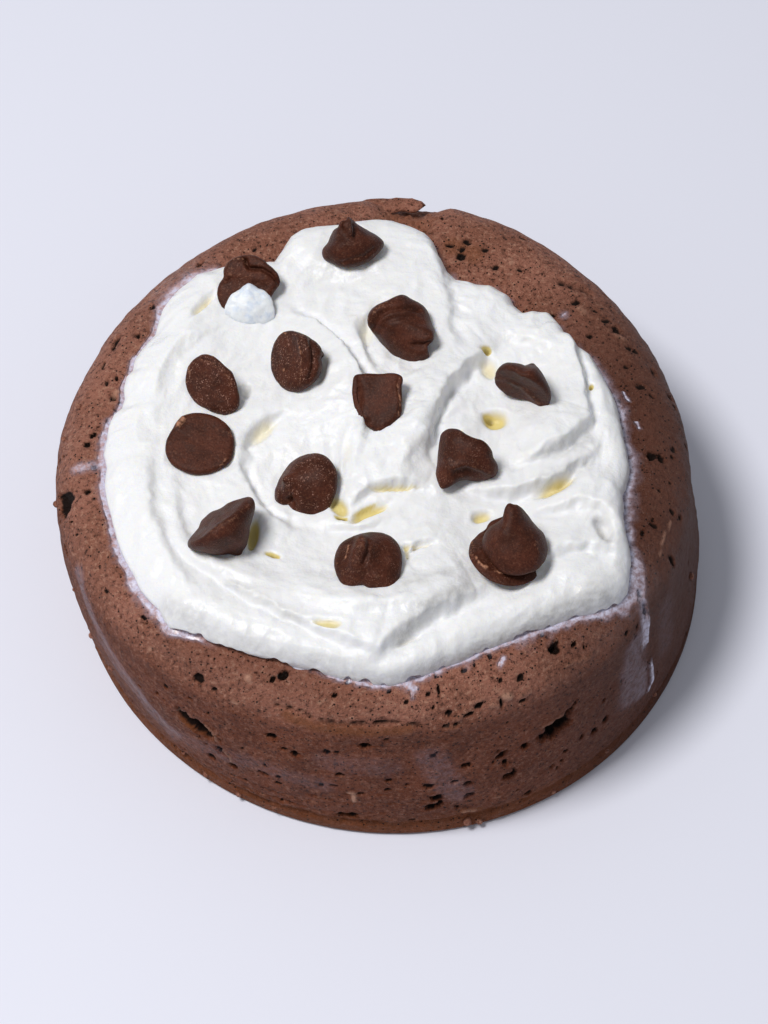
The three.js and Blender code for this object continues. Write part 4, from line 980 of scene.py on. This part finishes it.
def cakeOutline():    # radius, height and level above the foot, from the foot's middle to the top's middle
    foot, rim, bend = cake["footRadius"], cake["rimRadius"], cake["shoulder"]
    spring = cake["height"] - bend
    curve = cake["footRound"]
    line = [(foot * share, 0) for share in cake["underRings"]]
    for bent in np.linspace(0, math.pi / 2, 5):
        line.append((foot - curve + curve * math.sin(bent), curve - curve * math.cos(bent)))
    start = len(line) - 1
    steps = int((spring - curve) / cake["ringGap"])
    for z in np.linspace(curve, spring, steps)[1:]:
        part = (z - cake["seamHeight"]) / (spring - cake["seamHeight"])
        swell = cake["bulge"] * math.sin(math.pi * part) if part > 0 else 0
        groove = cake["seamDepth"] * math.exp(-((z - cake["seamHeight"]) / (cake["seamWidth"] / 3)) ** 2)
        line.append((foot + (rim - foot) * z / spring + swell - groove, z))
    steps = int(math.pi / 2 * bend / cake["ringGap"])
    for bent in np.linspace(0, math.pi / 2, steps)[1:]:
        line.append((rim - bend + bend * math.cos(bent), spring + bend * math.sin(bent)))
    line += [(r, cake["height"]) for r in np.arange(rim - bend, cake["topStart"], -cake["ringGap"])[1:]]
    line += [(cake["topStart"] * share, cake["height"]) for share in cake["topRings"]]
    line = np.array(line)
    level = np.append(0, np.cumsum(np.hypot(*np.diff(line, axis=0).T)))
    return line, level - level[start]


crust = {    # the cake's colours, and the sizes of their patterns in millimetres
    "rim": ((0.31, 0.118, 0.073), (0.41, 0.166, 0.111)), "rimPatch": 9.0,
    "side": ((0.165, 0.042, 0.0155), (0.225, 0.063, 0.027)), "sidePatch": 7.0,
    "lighter": (0.33, 0.15, 0.1), "lighterPatch": 1.3, "darker": (0.07, 0.02, 0.01), "darkerPatch": 0.8,
    "grain": 0.75, "grainDark": (0.04, 0.011, 0.005), "grainPale": (0.5, 0.25, 0.17), "palerOnSide": 0.4,
    # the shade colour on the next line is painted shade for the right side and for the rim under the cream's
    # lip at the front
    "warm": (0.24, 0.075, 0.02), "warmShare": 0.75, "paintedShade": (0.08, 0.024, 0.013),
    # the near-black colour on the next line is painted shade inside pits, pores, creases and the tear
    "poreGap": 0.95, "tinyGap": 0.5, "holeShade": (0.012, 0.004, 0.002),
    # the speck colour also paints the highlights on flakes and torn edges
    "speckGap": 0.7, "speckPatch": 5, "speckShare": 0.5, "speck": (0.6, 0.32, 0.22),
    "milkThin": (0.42, 0.35, 0.43), "milkThick": (0.62, 0.61, 0.76), "milkStreak": 0.9, "milkShare": 0.85,
    "bumpSize": 0.6, "bump": 0.85, "holeBump": -0.6, "roughness": (0.62, 0.2), "shine": (0.28, 0.17),
}


def cakeMaterial():
    m = Nodes("cakeFinish")
    milk, holeShade, paleAndHighlight, warmth, paintedShade, wall, wet = (
        m.mark(label) for label in ("milk", "holeShade", "paleAndHighlight", "warm", "paintedShade", "wall", "wet"))
    tone = m.mix(m.ramp(m.noise(crust["rimPatch"], 4), 0.35, 0.68), *crust["rim"])
    side = m.mix(m.ramp(m.noise(crust["sidePatch"], 4), 0.35, 0.68), *crust["side"])
    tone = m.mix(wall, tone, side)
    tone = m.mix(m.ramp(m.noise(crust["lighterPatch"], 3, 0.65), 0.5, 0.8, 0, 0.6), tone, crust["lighter"])
    tone = m.mix(m.ramp(m.noise(crust["darkerPatch"], 3, 0.6), 0.5, 0.28, 0, 0.5), tone, crust["darker"])
    grain = m.noise(crust["grain"], 3, 0.75)
    tone = m.mix(m.ramp(grain, 0.47, 0.3, 0, 0.95), tone, crust["grainDark"])
    onSide = m.ramp(wall, 0, 1, 1, crust["palerOnSide"])
    tone = m.mix(m.sum(m.ramp(grain, 0.52, 0.68, 0, 0.95), onSide, "MULTIPLY"), tone, crust["grainPale"])
    tone = m.mix(m.sum(warmth, crust["warmShare"], "MULTIPLY"), tone, crust["warm"])
    # painted shade: darker on the right side and on the rim under the cream's lip at the front
    tone = m.mix(paintedShade, tone, crust["paintedShade"])
    # painted shade: pores, pits, creases and the tear darken nearly to black inside
    pore, tiny = m.ramp(m.cells(crust["poreGap"]), 0.19, 0.08), m.ramp(m.cells(crust["tinyGap"]), 0.16, 0.07)
    dark = m.sum(m.sum(pore, tiny, "MAXIMUM"), holeShade, "MAXIMUM")
    tone = m.mix(m.ramp(dark, 0.05, 0.55), tone, crust["holeShade"])
    patchy = m.ramp(m.noise(crust["speckPatch"], 2), 0.45, 0.6)
    specks = m.sum(m.ramp(m.cells(crust["speckGap"]), 0.13, 0.04), patchy, "MULTIPLY")
    # pale specks, and pale flecks that are partly painted highlight on flakes and torn edges
    tone = m.mix(m.sum(paleAndHighlight, m.sum(specks, crust["speckShare"], "MULTIPLY"), "MAXIMUM"), tone, crust["speck"])
    streaks = m.ramp(m.noise(crust["milkStreak"], 4, 0.65), 0.32, 0.68, 0.3, 1.2)
    veil = m.sum(m.sum(milk, streaks, "MULTIPLY"), crust["milkShare"], "MULTIPLY")
    tone = m.mix(veil, tone, m.mix(m.ramp(milk, 0.5, 0.95), crust["milkThin"], crust["milkThick"]))
    bare = m.sum(1.0, m.ramp(milk, 0.4, 0.9), "SUBTRACT")
    relief = m.sum(m.noise(crust["bumpSize"], 4, 0.75), m.sum(dark, crust["holeBump"], "MULTIPLY"))
    return m.wear(
        Base_Color=tone, Roughness=m.ramp(m.sum(wet, milk, "MAXIMUM"), 0.0, 0.8, *crust["roughness"]),
        Specular_IOR_Level=m.ramp(wall, 0, 1, *crust["shine"]),
        Normal=m.bump(m.sum(relief, bare, "MULTIPLY"), crust["bump"]),
    )


def cakeSpots(turn, radius, height):    # the outline's even places, moved to the cake's uneven form
    angle = np.radians(turn)
    spring = cake["height"] - cake["shoulder"]
    level = np.clip(height / spring, 0, 1)
    even = cake["footRadius"] + (cake["rimRadius"] - cake["footRadius"]) * level
    rounding = smooth(0, 1, level)
    foot = cake["footRadius"] + wave(cake["footWaves"], angle)
    uneven = foot + (rimAt(angle) - foot) * rounding
    begins, whole = cake["unevenFrom"]
    radius = radius + (uneven - even) * smooth(begins * even, whole * even, radius)
    x, y = radius * np.cos(angle), radius * np.sin(angle)
    crown = cake["crownFrom"] * cake["height"]
    lifted = height + (crownAt(angle) - cake["height"]) * smooth(crown, cake["height"], height)
    z = np.where(height > cake["height"] - 1e-3, cakeTop(x, y), lifted)
    leanX, leanY = cake["lean"]
    return np.stack([x + leanX * (1 - rounding), y + leanY * (1 - rounding), z], 1)


def aroundFrom(turn, middle):    # millimetres along the rim from a turn
    return np.radians((turn - middle + 180) % 360 - 180) * cake["rimRadius"]


def alongSide(points, turn, level):    # millimetres on the side from a line through turns and levels
    middle = points[0][0]
    line = [(float(aroundFrom(place, middle)), up) for place, up in points]
    return fromLine(line, aroundFrom(turn, middle), level)


def porePits():    # the random pores, written as the pits are
    draw = np.random.default_rng(pores["seed"])
    rows = []
    for _ in range(pores["count"]):
        place = (draw.uniform(*pores["turns"]), draw.uniform(*pores["levels"]))
        half = draw.uniform(*pores["half"]) * draw.uniform(*pores["swell"])
        wide = half * draw.uniform(*pores["oblong"])
        rows.append((*place, wide, half, draw.uniform(*pores["rolls"]), draw.uniform(*pores["depth"])))
    return rows


def cakeRelief(turn, level, spots):    # how far the surface stands out, and its marks
    push = layered(spots, rough["skin"]) - rough["sink"]
    towards = smooth(-0.2, 0.5, np.cos(np.radians(turn - rough["footTurn"])))
    push += layered(spots, rough["foot"]) * (smooth(*rough["footLevels"], level) * towards)
    uneven = roughly(spots, *rough["ragged"])
    marks = {label: np.zeros(len(turn)) for label in ("holeShade", "paleAndHighlight", "warm", "milk")}

    def leave(label, values):
        marks[label] = np.maximum(marks[label], values)

    most, lessDeep = rough["shallow"]
    for middle, up, wide, tall, roll, depth in pits + porePits():
        c, s = math.cos(math.radians(roll)), math.sin(math.radians(roll))
        u, v = aroundFrom(turn, middle), level - up
        out = ((u * c + v * s) / wide) ** 2 + ((v * c - u * s) / tall) ** 2
        steeper = rough["smallPitEdge"] if depth < rough["smallPit"] else 1
        dent = np.exp(-(out * steeper * (1 + rough["pitRagged"] * uneven)) ** 2)
        push -= depth * dent
        shallow = np.clip(most - lessDeep * depth, 0.02, 0.3)
        # painted shade: the pit darkens towards black inside
        leave("holeShade", smooth(shallow, shallow + rough["blackening"], dent))
    least, swing = rough["creaseRagged"]
    dark, darker = rough["creaseShade"]
    for points, width, depth in creases:
        dent = np.exp(-(alongSide(points, turn, level) / width) ** 2)
        dent *= np.clip(least + swing * uneven, 0, 1.2)
        push -= depth * dent
        # painted shade along the crease
        leave("holeShade", dark * min(depth * darker, 1) * dent)
    # the pale flecks are partly painted highlight on flakes and torn edges
    for label, lines in (("milk", runs), ("paleAndHighlight", flecks), ("warm", warm)):
        for points, width, up, strength in lines:
            near = np.exp(-(alongSide(points, turn, level) / width) ** 4)
            push += up * near
            leave(label, strength * near)
    past = (turn - tear["turn"] + 180) % 360 - 180
    torn = smooth(*tear["start"], past) * smooth(*tear["end"], past)
    torn = torn * smooth(*tear["below"], level) * smooth(*tear["above"], level)
    push -= tear["depth"] * torn * (1 + tear["ragged"] * uneven)
    # painted shade in the tear's crease
    leave("holeShade", tear["dark"] * torn * smooth(*tear["darkLevels"], level))
    leave("warm", tear["warm"] * torn)
    return push, marks


def filmMarks(turn, level, spots, marks):    # milk along the cream's edge, wetness, and painted shade on the right side and under the cream's lip at the front
    angle = np.radians(turn)
    away = np.hypot(spots[:, 0], spots[:, 1]) - reachAt(angle)
    spread, raggedness = around(film["spread"], angle), around(film["raggedness"], angle)
    edge = spread * (1 + raggedness * layered(spots, film["ripples"]))
    upper = smooth(*film["levels"], level)
    sheet = smooth(1.05, 0.0, away / np.maximum(edge, film["least"])) * upper * smooth(0, 0.4, spread)
    marks["milk"] = np.maximum(marks["milk"], sheet)
    front = np.exp(-(aroundFrom(turn, film["glintTurn"]) / film["glintWide"]) ** 4)
    near = smooth(*film["glintReach"], away) * upper
    beside = smooth(*film["wetReach"], away - edge) * upper
    damp, glint, edging = film["wetness"]
    marks["wet"] = np.maximum(near * (damp + glint * front), beside * edging)
    # painted shade: strongest on the right side, away from the lamp
    right = smooth(film["paintedShadeFrom"], 1.0, np.cos(angle - math.radians(film["paintedShadeTurn"])))
    atRight, atFront = film["paintedShades"]
    marks["paintedShade"] = np.clip(atRight * right + atFront * front * near, 0, 1)
    marks["wall"] = smooth(*film["wallLevels"], level)
    marks["warm"] = np.maximum(marks["warm"], film["footWarm"] * smooth(*film["footLevels"], level))
    return film["thick"] * sheet


def makeFlap(bm):    # joined to the cake's mesh
    segments, rings = flap["segments"]
    made = bmesh.ops.create_uvsphere(bm, u_segments=segments, v_segments=rings, radius=1)["verts"]
    ball = np.array([v.co[:] for v in made])
    along = -np.arcsin(np.clip(ball[:, 2], -1, 1)) / (math.pi / 2)
    turn = (flap["from"] + flap["to"]) / 2 - (flap["from"] - flap["to"]) / 2 * along
    size = (1 - np.abs(along) ** flap["blunt"]) ** (1 / flap["blunt"])
    girth = np.arctan2(ball[:, 1], ball[:, 0])
    angle = np.radians(turn)
    rise = flap["lift"] * smooth(flap["liftFrom"], 1, along)
    narrow = 1 - flap["narrows"] * smooth(0, 1, along)
    radius = rimAt(angle) - flap["inset"] + flap["wide"] * size * np.cos(girth) * narrow
    z = crownAt(angle) - flap["sunk"] + rise + flap["thick"] * size * np.sin(girth)
    spots = np.stack([radius * np.cos(angle), radius * np.sin(angle), z], 1)
    sway = [roughly(spots, flap["raggedSize"], seed) for seed in flap["seeds"]]
    spots = spots + flap["ragged"] * np.stack(sway, 1)
    bare = smooth(*flap["bareFrom"], along) * smooth(0.4, -0.4, np.sin(girth))    # where the inside shows
    orange = bm.verts.layers.float["warm"]
    for vert, spot, amount in zip(made, spots, bare):
        vert.co = spot
        vert[orange] = amount


def makeCake():
    bm = bmesh.new()
    line, levels = cakeOutline()
    half = cake["frontHalf"]
    finer = np.linspace(-90 - half, -90 + half, cake["frontSteps"])
    turns = np.concatenate([finer, np.linspace(-90 + half, 270 - half, cake["backSteps"])[1:]])
    bmesh.ops.create_grid(bm, x_segments=len(turns) - 1, y_segments=len(line) - 1, size=0.5)
    column, row = ((places(bm)[:, :2] + 0.5) * (len(turns) - 1, len(line) - 1)).round().astype(int).T
    turn, level = turns[column], levels[row]
    spots = cakeSpots(turn, line[row, 0], line[row, 1])
    moveTo(bm, spots)
    bmesh.ops.recalc_face_normals(bm, faces=bm.faces)
    normals = outwards(bm)
    push, marks = cakeRelief(turn, level, spots)
    push = push + filmMarks(turn, level, spots, marks)
    moveTo(bm, spots + normals * (push * smooth(*cake["reliefFrom"], level))[:, None])
    layers = {label: bm.verts.layers.float.new(label) for label in marks}
    for label, layer in layers.items():
        for vert, value in zip(bm.verts, marks[label]):
            vert[layer] = value
    bmesh.ops.remove_doubles(bm, verts=bm.verts, dist=1e-3)
    makeFlap(bm)
    bmesh.ops.recalc_face_normals(bm, faces=bm.faces)
    finishPiece("cakeBody", bm, cakeMaterial(), ["cake"])


def makeCrumbs():
    bm = bmesh.new()
    line, levels = cakeOutline()
    for index, (turn, level, size) in enumerate(crumbs):
        made = bmesh.ops.create_icosphere(bm, subdivisions=2, radius=size)["verts"]
        radius, height = (np.array([np.interp(level, levels, line[:, axis])]) for axis in (0, 1))
        spot = cakeSpots(np.array([float(turn)]), radius, height)[0]
        for vert in made:
            lump = np.array(vert.co)
            vert.co = spot + lump * (1 + crumbLumps * roughly(lump[None], size * 1.6, index)[0])
    finishPiece("cakeCrumbs", bm, bpy.data.materials["cakeFinish"])


studio = {
    "floorSize": 3.0, "floorColour": (0.8, 0.81, 0.915), "floorRoughness": 0.55, "floorShine": 0.3,
    "skyColour": (0.92, 0.95, 1.0), "skyStrength": 0.325,
    "keyAt": (-0.315, -0.11, 0.8), "keySize": 0.26, "keyPower": 5.5, "keyColour": (1.0, 0.99, 0.97),
}


def makeFloor():
    m = Nodes("floorFinish")
    colour = (*studio["floorColour"], 1)
    m.wear(Base_Color=colour, Roughness=studio["floorRoughness"], Specular_IOR_Level=studio["floorShine"])
    bm = bmesh.new()
    bmesh.ops.create_grid(bm, x_segments=1, y_segments=1, size=studio["floorSize"] / 2)
    mesh = bpy.data.meshes.new("floor")
    bm.to_mesh(mesh)
    bm.free()
    mesh.materials.append(m.material)
    floor = bpy.data.objects.new("floor", mesh)
    bpy.context.scene.collection.objects.link(floor)


def makeLight():
    world = bpy.data.worlds.new("studioSky")
    bpy.context.scene.world = world
    world.use_nodes = True
    sky = world.node_tree.nodes["Background"]
    sky.inputs["Color"].default_value = (*studio["skyColour"], 1)
    sky.inputs["Strength"].default_value = studio["skyStrength"]
    lamp = bpy.data.lights.new("windowLight", "AREA")
    lamp.shape = "DISK"
    lamp.size = studio["keySize"]
    lamp.energy = studio["keyPower"]
    lamp.color = studio["keyColour"]
    window = bpy.data.objects.new("windowLight", lamp)
    window.location = studio["keyAt"]
    window.rotation_euler = (-Vector(studio["keyAt"])).to_track_quat("-Z", "Y").to_euler()
    bpy.context.scene.collection.objects.link(window)


def makeCamera():
    lens = bpy.data.cameras.new("photoView")
    lens.lens = view["lens"]
    lens.sensor_width = view["sensor"]
    lens.clip_start = 0.01
    camera = bpy.data.objects.new("photoView", lens)
    camera.location = cameraSpot * mm
    camera.rotation_euler = (math.pi / 2 - tilt, 0, 0)
    bpy.context.scene.collection.objects.link(camera)
    bpy.context.scene.camera = camera


makeCamera()
makeLight()
makeFloor()
bpy.context.scene.view_settings.view_transform = "Standard"
print("stage set")
makeCake()
makeCrumbs()
makeCream()
makeDab()
chipFinish = chipMaterial()
for chipName in chips:
    makeChip(chipName, chipFinish)
print("pieces made")
